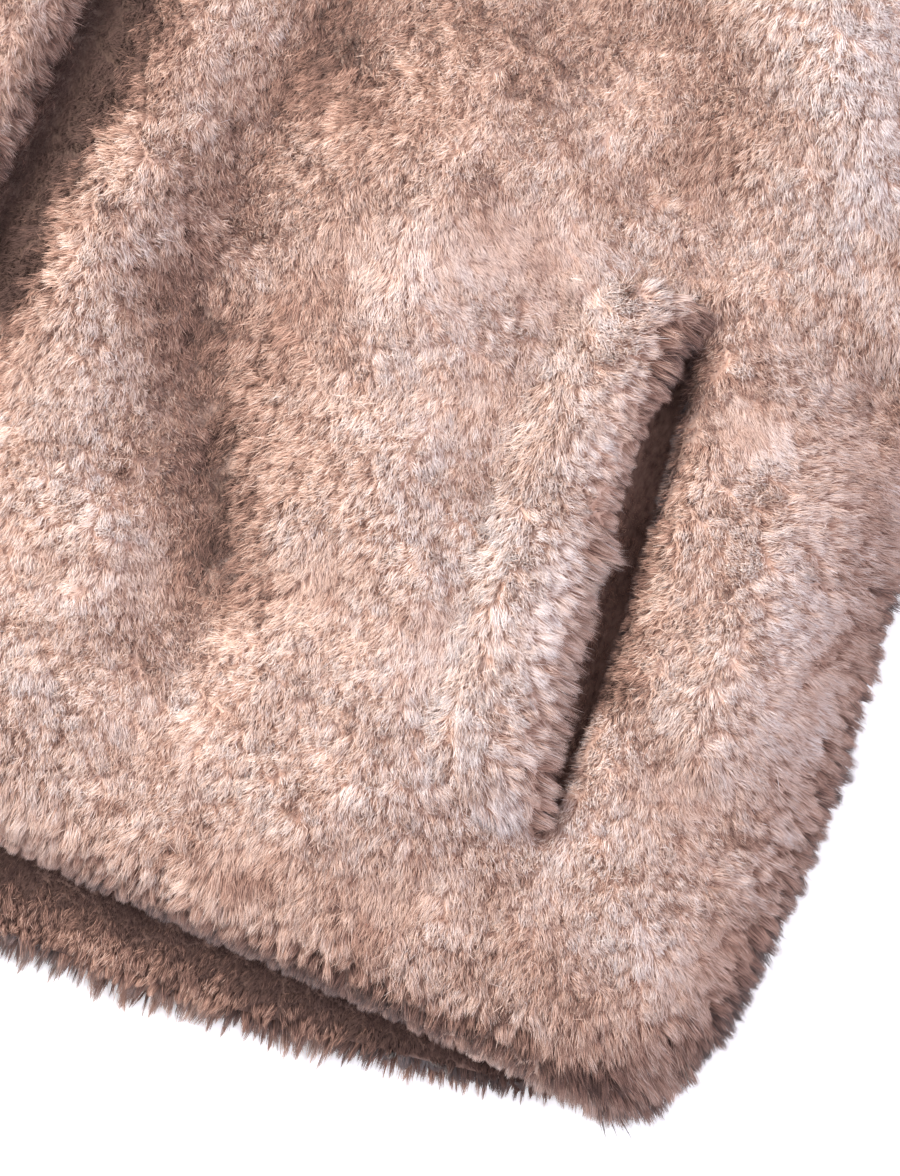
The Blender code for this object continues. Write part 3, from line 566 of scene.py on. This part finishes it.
def scatter(panel, chosen, density, rng, tested=False):
    """Random points on the chosen faces, with their normals, as dense as density says at each.
    If they are tested, those that don't see the open are left out."""
    faces = np.flatnonzero(chosen)
    corners = panel.points[panel.faces[faces]]
    most = np.maximum(density(corners.reshape(-1, 3)).reshape(-1, 3).max(1), density(corners.mean(1)))
    counts = rng.poisson(panel.areas[faces] * most)
    pick = np.repeat(np.arange(len(faces)), counts)
    r, s = np.sqrt(rng.random(len(pick))), rng.random(len(pick))
    weights = np.stack([1 - r, r * (1 - s), r * s], axis=1)
    corners = corners[pick]
    normals = panel.normals[panel.faces[faces[pick]]]
    places = (weights[:, :, None] * corners).sum(1)
    keep = rng.random(len(pick)) < density(places) / most[pick]
    places, weights, corners, normals = places[keep], weights[keep], corners[keep], normals[keep]
    if tested:
        keep_open = is_open(JACKET, places, panel.flat[faces[pick[keep]]])
        places, weights, corners, normals = (a[keep_open] for a in (places, weights, corners, normals))
    bent_places = bent(places, weights, corners, normals)
    return raised(bent_places, unit((weights[:, :, None] * normals).sum(1)))


# ---- materials ----


def new_material(name, roughness, sheen=0.0):
    """A dull material, its node tree and its shader."""
    made = bpy.data.materials.new(name)
    made.use_nodes = True
    shader = made.node_tree.nodes["Principled BSDF"]
    shader.inputs["Roughness"].default_value = roughness
    shader.inputs["Specular IOR Level"].default_value = 0.2
    shader.inputs["Sheen Weight"].default_value = sheen
    shader.inputs["Sheen Roughness"].default_value = 0.5
    return made, made.node_tree, shader


def ramp(tree, value, stops):
    """The colour at a value, from stops of (place, colour)."""
    node = tree.nodes.new("ShaderNodeValToRGB")
    tree.links.new(value, node.inputs[0])
    elements = node.color_ramp.elements
    while len(elements) < len(stops):
        elements.new(0.5)
    for element, (place, color) in zip(elements, stops):
        element.position = place
        element.color = (*color, 1)
    return node.outputs[0]


def mixed(tree, factor, dark, light):
    """The dark colour where the factor is 0, and the light one where it is 1."""
    node = tree.nodes.new("ShaderNodeMix")
    node.data_type = "RGBA"
    tree.links.new(factor, node.inputs[0])
    tree.links.new(dark, node.inputs[6])
    tree.links.new(light, node.inputs[7])
    return node.outputs[2]


def strand_material(name, roots, tips, sheen):
    """Coloured by the strand's own map."""
    made, tree, shader = new_material(name, 0.8, sheen)
    uv = tree.nodes.new("ShaderNodeUVMap")
    uv.uv_map = "OFBake"
    split = tree.nodes.new("ShaderNodeSeparateXYZ")
    tree.links.new(uv.outputs[0], split.inputs[0])
    low = ramp(tree, split.outputs[0], roots)
    high = ramp(tree, split.outputs[0], tips)
    along = ramp(tree, split.outputs[1], [(0.0, (0, 0, 0)), (TIP_START, (1, 1, 1))])
    tree.links.new(mixed(tree, along, low, high), shader.inputs["Base Color"])
    return made


def noise(tree, coordinates, scale, detail=3):
    """Noise of so many periods a metre."""
    node = tree.nodes.new("ShaderNodeTexNoise")
    node.inputs["Scale"].default_value = scale
    node.inputs["Detail"].default_value = detail
    tree.links.new(coordinates, node.inputs["Vector"])
    return node.outputs[0]


def cloth_material(name, dark, light, scale, stretch, bump, painted_shade=None):
    """Short pile or knit: streaked noise in colour and bump, going to the painted shade colour where its
    tone attribute falls.
    """
    made, tree, shader = new_material(name, 0.9, 0.1)
    place = tree.nodes.new("ShaderNodeTexCoord").outputs["Object"]
    mapping = tree.nodes.new("ShaderNodeMapping")
    mapping.inputs["Scale"].default_value = stretch
    tree.links.new(place, mapping.inputs["Vector"])
    streaks = noise(tree, mapping.outputs[0], scale)
    patches = noise(tree, place, 30, 2)
    both = tree.nodes.new("ShaderNodeMath")
    both.operation = "MULTIPLY"
    tree.links.new(streaks, both.inputs[0])
    tree.links.new(patches, both.inputs[1])
    color = ramp(tree, both.outputs[0], [(0.12, dark), (0.42, light)])
    # Painted shade, laid on by the mesh's tone attribute
    if painted_shade:
        tone = tree.nodes.new("ShaderNodeAttribute")
        tone.attribute_name = "tone"
        low = ramp(tree, tone.outputs["Color"], [(0.0, painted_shade), (1.0, painted_shade)])
        color = mixed(tree, tone.outputs["Color"], low, color)
    tree.links.new(color, shader.inputs["Base Color"])
    relief = tree.nodes.new("ShaderNodeBump")
    relief.inputs["Strength"].default_value = 0.8
    relief.inputs["Distance"].default_value = bump
    tree.links.new(streaks, relief.inputs["Height"])
    tree.links.new(relief.outputs[0], shader.inputs["Normal"])
    return made


PILE = strand_material(
    "fur pile",
    [(0.0, (0.020, 0.011, 0.010)), (0.5, (0.25, 0.125, 0.085)), (1.0, (0.65, 0.41, 0.31))],
    [(0.0, (0.080, 0.044, 0.036)), (0.20, (0.25, 0.138, 0.105)), (0.42, (0.50, 0.290, 0.215)),
     (0.62, (0.77, 0.548, 0.438)), (0.82, (0.87, 0.718, 0.640)), (1.0, (0.90, 0.845, 0.83))],
    0.25,
)
POCKET_PILE = strand_material(
    "pocket pile",
    [(0.0, (0.14, 0.056, 0.040)), (1.0, (0.46, 0.230, 0.160))],
    [(0.0, (0.38, 0.185, 0.132)), (1.0, (0.92, 0.580, 0.430))],
    0.1,
)
# The lower pile's shaded colour is painted shade
UNDER_PILE = cloth_material(
    "lower pile", (0.44, 0.26, 0.19), (0.80, 0.59, 0.49), 900, (1, 0.5, 1), 0.0012, painted_shade=(0.07, 0.04, 0.03)
)
# A darker copy of the lower pile, as painted shade for the back's hem facing under the front hem
SHADED_PILE = cloth_material(
    "facing pile in painted shade", (0.10, 0.055, 0.042), (0.30, 0.19, 0.15), 900, (1, 0.5, 1), 0.0012
)
SHORT_PILE = cloth_material(
    "flattened fur", (0.38, 0.25, 0.20), (0.74, 0.56, 0.48), 420, (1, 0.3, 1), 0.002
)
BACKING = cloth_material(
    "knit backing", (0.42, 0.28, 0.22), (0.64, 0.46, 0.37), 900, (1, 0.7, 1), 0.0006
)
POCKET_CLOTH = cloth_material(
    "pocket plush", (0.12, 0.065, 0.050), (0.42, 0.26, 0.20), 700, (1, 0.5, 1), 0.001
)


# ---- backings ----


def welt_share(points):
    """Shares across a welt, 0 at the slit's lip and 1 at its far edge."""
    along = np.subtract(SLIT_TOP, SLIT_BOTTOM)
    length = np.linalg.norm(along)
    along = along / length
    off = np.stack([np.abs(points[:, 0]), points[:, 1]], axis=1) - SLIT_BOTTOM
    up = off @ along / length
    across = off @ [along[1], -along[0]]
    lip = SLIT_HALF_WIDTH * np.sqrt(np.clip(1 - (2 * up - 1) ** 2, 0, 1))
    return (-across - lip) / WELT_WIDTH


def base_at(name, points, base):
    """How far the lower pile stands out of a panel's face at each point."""
    if name.startswith("pocket_welt"):
        return base * (1 - ease(welt_share(points), 0.5, 1.0))
    return base * (field("base", points) if base > 0 else np.ones(len(points)))


def linked(name, data):
    """A new object in the scene."""
    made = bpy.data.objects.new(name, data)
    bpy.context.scene.collection.objects.link(made)
    return made


def smooth_mesh(name, points, faces):
    """An object with a smooth-shaded mesh."""
    mesh = bpy.data.meshes.new(name)
    mesh.from_pydata(points.tolist(), [], faces.tolist())
    mesh.polygons.foreach_set("use_smooth", np.ones(len(mesh.polygons), bool))
    mesh.update()
    return linked(name, mesh)


def split_faces(panel):
    """The panel's triangles cut in four, with the new corners bent to the curve."""
    ends = np.concatenate([panel.faces[:, pair] for pair in ([0, 1], [1, 2], [2, 0])])
    edges, number = np.unique(np.sort(ends, axis=1), axis=0, return_inverse=True)
    number = number.reshape(-1) + len(panel.points)
    count = len(panel.faces)
    ab, bc, ca = number[:count], number[count : 2 * count], number[2 * count :]
    a, b, c = panel.faces.T
    faces = np.concatenate(
        [np.stack(corner, axis=1) for corner in ((a, ab, ca), (ab, b, bc), (ca, bc, c), (ab, bc, ca))]
    )
    corners, normals = panel.points[edges], panel.normals[edges]
    middles = corners.mean(1)
    same_side = panel.on_outside[edges[:, 0]] == panel.on_outside[edges[:, 1]]
    curved = bent(middles, np.full(edges.shape, 0.5), corners, normals)
    middles = np.where(same_side[:, None], curved, middles)
    points = np.concatenate([panel.points, middles])
    normals = np.concatenate([panel.normals, unit(normals.sum(1))])
    outer = np.concatenate([panel.on_outside, panel.on_outside[edges].all(1)])
    return points, normals, outer, faces, np.tile(panel.outside, 4)


def backing(name, base, lift, outer_finish, inner_finish, slot):
    """The cloth of a panel with its dense lower pile: the CAD solid, with base added to what shows
    and lift taken off what doesn't."""
    panel = PANELS[name]
    points, normals, outer, faces, outside = split_faces(panel)
    points[:, 2] += field("rise", points) * ease(points[:, 2], 0.012, 0.020)
    points = points + normals * np.where(outer, base_at(name, points, base), -lift)[:, None]
    points[:, 2] = np.maximum(points[:, 2], 0)
    made = smooth_mesh(f"{name}_cloth", points, faces)
    # Painted shade on the lower pile, where the plan's tone goes dark and outside the frame, carried by the
    # tone attribute
    shade = np.clip(1 + 1.6 * np.minimum(field("tone", points) + 0.08, 0), 0.05, 1)
    shade *= 1 - OUTER_SHADE * (1 - fineness(points))
    tones = made.data.color_attributes.new("tone", "FLOAT_COLOR", "POINT")
    tones.data.foreach_set("color", np.repeat(shade, 4))
    finish = np.where(outside, 0, 1)
    made.data.materials.append(outer_finish)
    made.data.materials.append(inner_finish)
    if name == "back" or name.startswith("sleeve"):
        made.data.materials.append(SHORT_PILE)
        finish[outside & (np.tile(panel.flat[:, 2], 4) < UNDERNEATH)] = 2
    made.data.polygons.foreach_set("material_index", finish)
    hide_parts(name)
    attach(made, "root")
    return made


# ---- pile ----


def across_face(directions, normals):
    """Directions laid into the surface, or down it where they run straight out of it."""
    return unit(directions - dot(directions, normals) * normals)


def lay_at(name, points, normals, override):
    """The comb's direction in the surface at each point. An override holds near a slit's lip."""
    lay = np.stack([field("lay_x", points), field("lay_y", points), np.full(len(points), -0.35)], axis=1)
    if override is not None:
        share = (1 - ease(welt_share(points), 0.35, 0.95))[:, None]
        lay = (1 - 0.8 * share) * lay + share * np.array([*turned(*override), -0.1])
    return across_face(lay, normals)


def turn_about(vectors, axes, angles):
    """Vectors in the plane across their axes, turned about them."""
    cos, sin = np.cos(angles)[:, None], np.sin(angles)[:, None]
    return vectors * cos + np.cross(axes, vectors) * sin


def nearest_of(places, points):
    """For each point the number of the nearest place, and how much further the next one is."""
    tree = KDTree(len(places))
    for index, place in enumerate(places):
        tree.insert(place, index)
    tree.balance()
    number, further = np.empty(len(points), int), np.empty(len(points))
    for index, point in enumerate(points.tolist()):
        (_, first, near), (_, _, far) = tree.find_n(point, 2)
        number[index], further[index] = first, far - near
    return number, further


def blades(name, starts, tips, sideways, widths, normals, tones, finish):
    """One mesh of strands, each a long triangle from its root to its tip."""
    count = len(starts)
    half = sideways * widths[:, None] * 0.5
    points = np.stack([starts - half, starts + half, tips], axis=1).reshape(-1, 3)
    points[:, 2] = np.maximum(points[:, 2], FLOOR_GAP)
    mesh = bpy.data.meshes.new(name)
    mesh.vertices.add(3 * count)
    mesh.vertices.foreach_set("co", points.reshape(-1))
    mesh.loops.add(3 * count)
    mesh.loops.foreach_set("vertex_index", np.arange(3 * count, dtype=np.int32))
    mesh.polygons.add(count)
    mesh.polygons.foreach_set("loop_start", 3 * np.arange(count, dtype=np.int32))
    mesh.polygons.foreach_set("use_smooth", np.ones(count, bool))
    mesh.update(calc_edges=True)
    uv = mesh.uv_layers.new(name="OFBake")
    across = np.array([-MAP_HALF, MAP_HALF, 0.0])
    along = np.array([MAP_ROOT, MAP_ROOT, MAP_TIP])
    values = np.stack([tones[:, None] + across, np.broadcast_to(along, (count, 3))], axis=2)
    uv.data.foreach_set("uv", values.reshape(-1))
    mesh.normals_split_custom_set_from_vertices(normals.reshape(-1, 3))
    mesh.materials.append(finish)
    return linked(name, mesh)


def no_shade(points, normals):
    """The shade of a panel that is alike all over."""
    return np.zeros(len(points)), np.zeros(len(points))


def pile(name, seed, base=PILE_BASE, length=PILE_LENGTH, override=None, chosen=None, tone=0.0,
         shade=no_shade, finish=PILE, label="pile", density=1.0, tufting=1.0):
    """Grows the pile of one panel, in pieces small enough to export.
    The shade gives each point's added tone, which is painted shade, and from 0 to 1 how much its tufts end
    in points.
    Tufting is how many tufts the strands form, where 1 is the front's."""
    panel = PANELS[name]
    rng = np.random.default_rng(seed)
    chosen = panel.outside & (panel.flat[:, 2] > UNDERNEATH) if chosen is None else chosen

    def strands(points):
        return density * (SPARSE + (DENSE - SPARSE) * fineness(points))

    def tufts(points):
        return density * tufting * (TUFTS_SPARSE + (TUFTS_DENSE - TUFTS_SPARSE) * fineness(points))

    places, normals = scatter(panel, chosen, strands, rng, tested=True)
    tuft_places, tuft_normals = scatter(panel, chosen, tufts, rng)
    count = len(tuft_places)
    smooth = field("smooth", tuft_places)
    tuft_shade, spiky = shade(tuft_places, tuft_normals)
    lean = LEAN + (FLAT_LEAN - LEAN) * smooth + rng.normal(0, LEAN_SPREAD, count)
    lay = lay_at(name, tuft_places, tuft_normals, override)
    lay = turn_about(lay, tuft_normals, rng.normal(0, LAY_SPREAD, count) * (1 - 0.6 * smooth))
    reach = length * field("length", tuft_places) * rng.uniform(*REACH_RANGE, count)
    reach *= 1 + spiky * rng.uniform(*SPIKE_RANGE, count)
    way = tuft_normals * np.cos(lean)[:, None] + lay * np.sin(lean)[:, None]
    tuft_roots = tuft_places + tuft_normals * (base_at(name, tuft_places, base) - PILE_ROOT)[:, None]
    tuft_tips = tuft_roots + way * reach[:, None]
    # The plan's tone and the shade bring painted shade and highlight; the spread is the fur's own.
    tuft_tone = field("tone", tuft_places) + tuft_shade + rng.normal(0, TUFT_SPREAD, count)

    tuft, further = nearest_of(tuft_places, places)
    count = len(places)
    fine = fineness(places)
    widths = STRAND_WIDTH * (SPARSE_WIDTH + (1 - SPARSE_WIDTH) * fine) * rng.uniform(*WIDTH_RANGE, count)
    roots = places + normals * (base_at(name, places, base) - PILE_ROOT)[:, None]
    away = places - tuft_places[tuft]
    spacing = 1 / np.sqrt(tufts(places))
    rim = np.minimum(np.linalg.norm(away, axis=1) / spacing * 1.8, 1.3) ** 2
    crack = np.exp(-((further / spacing / CRACK_WIDTH) ** 2)) * field("cracks", places)
    long = reach[tuft] * rng.uniform(*LONG_RANGE, count)
    long *= 1 - RIM_SHORTER * rim
    long *= 1 - CRACK_SHORTER * crack
    stray = rng.random(count) < STRAYS
    long *= 1 + STRAY_LONGER * stray
    sway = unit(way[tuft] + (SWAY + STRAY_SWAY * stray)[:, None] * rng.normal(size=(count, 3)))
    tips = roots + sway * long[:, None]
    gather = GATHER * (1 - 0.35 * smooth[tuft]) + SPIKE_GATHER * spiky[tuft]
    gather *= rng.uniform(*GATHER_RANGE, count)
    tips += (tuft_tips[tuft] - tips) * np.minimum(gather, 1)[:, None]

    heading = unit(tips - roots)
    sideways = unit(np.cross(heading, normals))
    sideways = turn_about(sideways, heading, rng.uniform(-TWIST, TWIST, count))
    away = away / (np.linalg.norm(away, axis=1, keepdims=True) + TUFT_MIDDLE)
    rough = (1 - 0.5 * smooth[tuft])[:, None]
    bulge = unit(normals + BULGE * rough * away + BULGE_SPREAD * rough * rng.normal(size=(count, 3)))
    facing = np.stack([bulge, bulge, unit(bulge + TIP_TURN * lay[tuft])], axis=1)
    # Painted shade and highlight come with the added tone, the plan's tone and the shade; painted shade also
    # darkens strands outside the frame, in the partings and in the gaps between tufts. The spread and the
    # frost are the fur's own.
    tones = BASE_TONE + tone + OUTER_PAINTED_SHADE * (1 - fine) + tuft_tone[tuft]
    tones -= PARTING_PAINTED_SHADE * field("parting", places)
    mottled = (1 - 0.7 * smooth[tuft]) * (0.4 + 0.6 * fine)
    tones += rng.normal(0, STRAND_SPREAD, count) * mottled - CRACK_PAINTED_SHADE * crack
    tones += FROST * mottled * ((rng.random(count) < FROST_SHARE) - FROST_SHARE)
    tones = np.clip(tones, *MAP_TONES)

    order = np.argsort(places[:, 0] + places[:, 1], kind="stable")
    made = []
    for number, part in enumerate(np.array_split(order, max(1, math.ceil(count / PIECE_STRANDS))), 1):
        piece = blades(f"{name}_{label}_{number}", roots[part], tips[part], sideways[part],
                       widths[part], facing[part], tones[part], finish)
        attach(piece, "root")
        made.append(piece)
    print("pile", name, label, count, "strands", len(made), "pieces")
    return made


def back_hem_y(x):
    """Where the back's hem lies in plan."""
    share = np.clip(np.abs(x) / HEM_CORNER[0], 0, 1)
    return HEM_CORNER[1] - BACK_HEM_DIP * (1 - share**2.5)


def front_shade(points, normals):
    """Painted shade where it turns under, with pointed tufts along the side and the hem."""
    under = np.clip(0.30 - normals[:, 2], 0, 1)
    side = ease(np.abs(points[:, 0]), 0.272, 0.284)
    hem = 1 - ease(points[:, 1] - HEM_CORNER[1], 0.006, 0.016)
    return -0.45 * under, np.maximum(0.6 * side, 0.45 * hem)


def facing_shade(points, normals):
    """Painted shade all over, deeper to the side and deepest in the front hem's shadow, and in points along
    its own hem.
    """
    below_front = HEM_CORNER[1] - points[:, 1]
    shadow = 1 - ease(below_front, 0.006, 0.017)
    side = ease(np.abs(points[:, 0]), 0.130, 0.250)
    point = 1 - ease(points[:, 1] - back_hem_y(points[:, 0]), 0.002, 0.008)
    return -0.40 - 0.12 * side - 0.36 * shadow, 0.1 + 0.7 * point


def back_shade(points, normals):
    """Painted shade, deepest along the hem, where the tufts also end in points; plainer at the shoulders."""
    low = 1 - ease(points[:, 1] - HEM_CORNER[1], 0.10, 0.25)
    return -0.08 - 0.24 * low, 0.3 + 0.80 * low


def welt_shade(points, normals):
    """Painted shade and uneven tufts along the slit's lip."""
    share = welt_share(points)
    fine = fineness(points)
    return -0.24 * fine * (1 - ease(share, 0.0, 0.25)), 0.5 * fine * (1 - ease(share, 0.1, 0.5))


for name, seed, shade in (
    ("front_left", 11, front_shade),
    ("front_right", 12, front_shade),
    ("sleeve_left", 13, no_shade),
    ("sleeve_right", 14, no_shade),
    ("collar", 15, no_shade),
):
    pile(name, seed, shade=shade)
for name, seed, lay in (("pocket_welt_left", 16, WELT_LAY), ("pocket_welt_right", 17, RIGHT_WELT_LAY)):
    # The welts' added tone of 0.06 is a painted highlight
    pile(name, seed, length=WELT_LENGTH, override=lay, tone=0.06, shade=welt_shade)
facing = PANELS["back_hem_facing"]
pile("back_hem_facing", 18, base=FACING_BASE, length=0.0052, shade=facing_shade,
                                chosen=facing.flat[:, 2] > -0.5, tufting=1.4)
pile("back", 19, base=-BACK_DEPTH, length=0.0088, shade=back_shade, tufting=2.2)
for side, name, seed in ((1, "pocket_bag_left", 23), (-1, "pocket_bag_right", 24)):
    panel = PANELS[name]
    near = np.abs(panel.centres[:, :2] - [side * SLIT_MIDDLE[0], SLIT_MIDDLE[1]]) < SLIT_ZONE
    pile(name, seed, base=0, length=0.0040, chosen=near.all(1) & (panel.flat[:, 2] > 0.5),
                       finish=POCKET_PILE, label="pocket_pile", density=0.6)

# Flat cuts of what shows, (across, along) in metres
CUTS = {
    "front_left": {"flat": (0.345, 0.600), "area": 0.165, "on": ["back"]},
    "front_right": {"flat": (0.345, 0.600), "area": 0.165, "on": ["front_left", "back"]},
    "back": {"flat": (0.600, 0.615), "area": 0.330, "on": []},
    "sleeve_left": {"flat": (0.460, 0.560), "area": 0.190, "on": []},
    "sleeve_right": {"flat": (0.460, 0.560), "area": 0.190, "on": []},
    "collar": {"flat": (0.440, 0.046), "area": None, "on": ["front_left", "front_right", "back"]},
    "back_hem_facing": {"flat": (0.500, 0.075), "area": 0.033, "on": ["back"]},
    "pocket_welt_left": {"flat": (0.030, 0.145), "area": None, "on": ["front_left"]},
    "pocket_welt_right": {"flat": (0.030, 0.145), "area": None, "on": ["front_right"]},
    "pocket_bag_left": {"flat": (0.230, 0.155), "area": None, "on": ["front_left"]},
    "pocket_bag_right": {"flat": (0.230, 0.155), "area": None, "on": ["front_right"]},
}
FUR_CLOTH = (PILE_BASE, BACKING_LIFT, UNDER_PILE, BACKING, "fur")
OTHER_CLOTHS = {
    "pocket_bag_left": (0, 0, POCKET_CLOTH, POCKET_CLOTH, "pocket_pile"),
    "pocket_bag_right": (0, 0, POCKET_CLOTH, POCKET_CLOTH, "pocket_pile"),
    "pocket_welt_left": (PILE_BASE, 0, UNDER_PILE, UNDER_PILE, "fur"),
    "pocket_welt_right": (PILE_BASE, 0, UNDER_PILE, UNDER_PILE, "fur"),
    "back": (-BACK_DEPTH, BACKING_LIFT, UNDER_PILE, BACKING, "fur"),
    "back_hem_facing": (FACING_BASE, 0, SHADED_PILE, SHADED_PILE, "fur"),
}
cloths = {name: backing(name, *OTHER_CLOTHS.get(name, FUR_CLOTH)) for name in CUTS}

# ---- floor, camera and light ----

floor_finish, _, floor_shader = new_material("floor", 0.9)
floor_shader.inputs["Base Color"].default_value = (0.95, 0.95, 0.95, 1)
floor_shader.inputs["Emission Color"].default_value = (1, 1, 1, 1)
floor_shader.inputs["Emission Strength"].default_value = 0.4
bpy.ops.mesh.primitive_plane_add(size=12, location=(0, 0, 0))
floor = bpy.context.object
floor.name = "floor"
floor.data.materials.append(floor_finish)

centre = to_plan(FRAME_SIZE[0] / 2, FRAME_SIZE[1] / 2)
camera_data = bpy.data.cameras.new("camera")
camera = linked("camera", camera_data)
camera_data.sensor_fit = "HORIZONTAL"
camera_data.sensor_width = SENSOR
camera_data.lens = SENSOR * CAMERA_DISTANCE / (FRAME_SIZE[0] / FRAME_SCALE)
camera_data.clip_end = 50
camera.location = (*centre, FRAME_HEIGHT + CAMERA_DISTANCE)
camera.rotation_euler = (0, 0, FRAME_TURN)
bpy.context.scene.camera = camera


def area_light(name, right, up, height, size, power, color):
    """A soft light aimed at the middle of the photograph's frame, placed by the camera's own axes."""
    data = bpy.data.lights.new(name, "AREA")
    data.size = size
    data.energy = power
    data.color = color
    made = linked(name, data)
    dx, dy = turned(right, -up)
    made.location = (centre[0] + dx, centre[1] + dy, height)
    aim = Vector((*centre, FRAME_HEIGHT)) - made.location
    made.rotation_euler = aim.to_track_quat("-Z", "Y").to_euler()


area_light("key", right=-2.0, up=1.7, height=2.3, size=1.6, power=238, color=(1.0, 0.975, 0.935))
area_light("fill", right=2.2, up=-0.6, height=2.6, size=2.4, power=48, color=(0.88, 0.84, 1.0))
world = bpy.data.worlds.new("studio")
world.use_nodes = True
background = world.node_tree.nodes["Background"]
background.inputs["Color"].default_value = (0.93, 0.90, 1.0, 1)
background.inputs["Strength"].default_value = 0.86
bpy.context.scene.world = world
bpy.context.scene.view_settings.view_transform = "Standard"
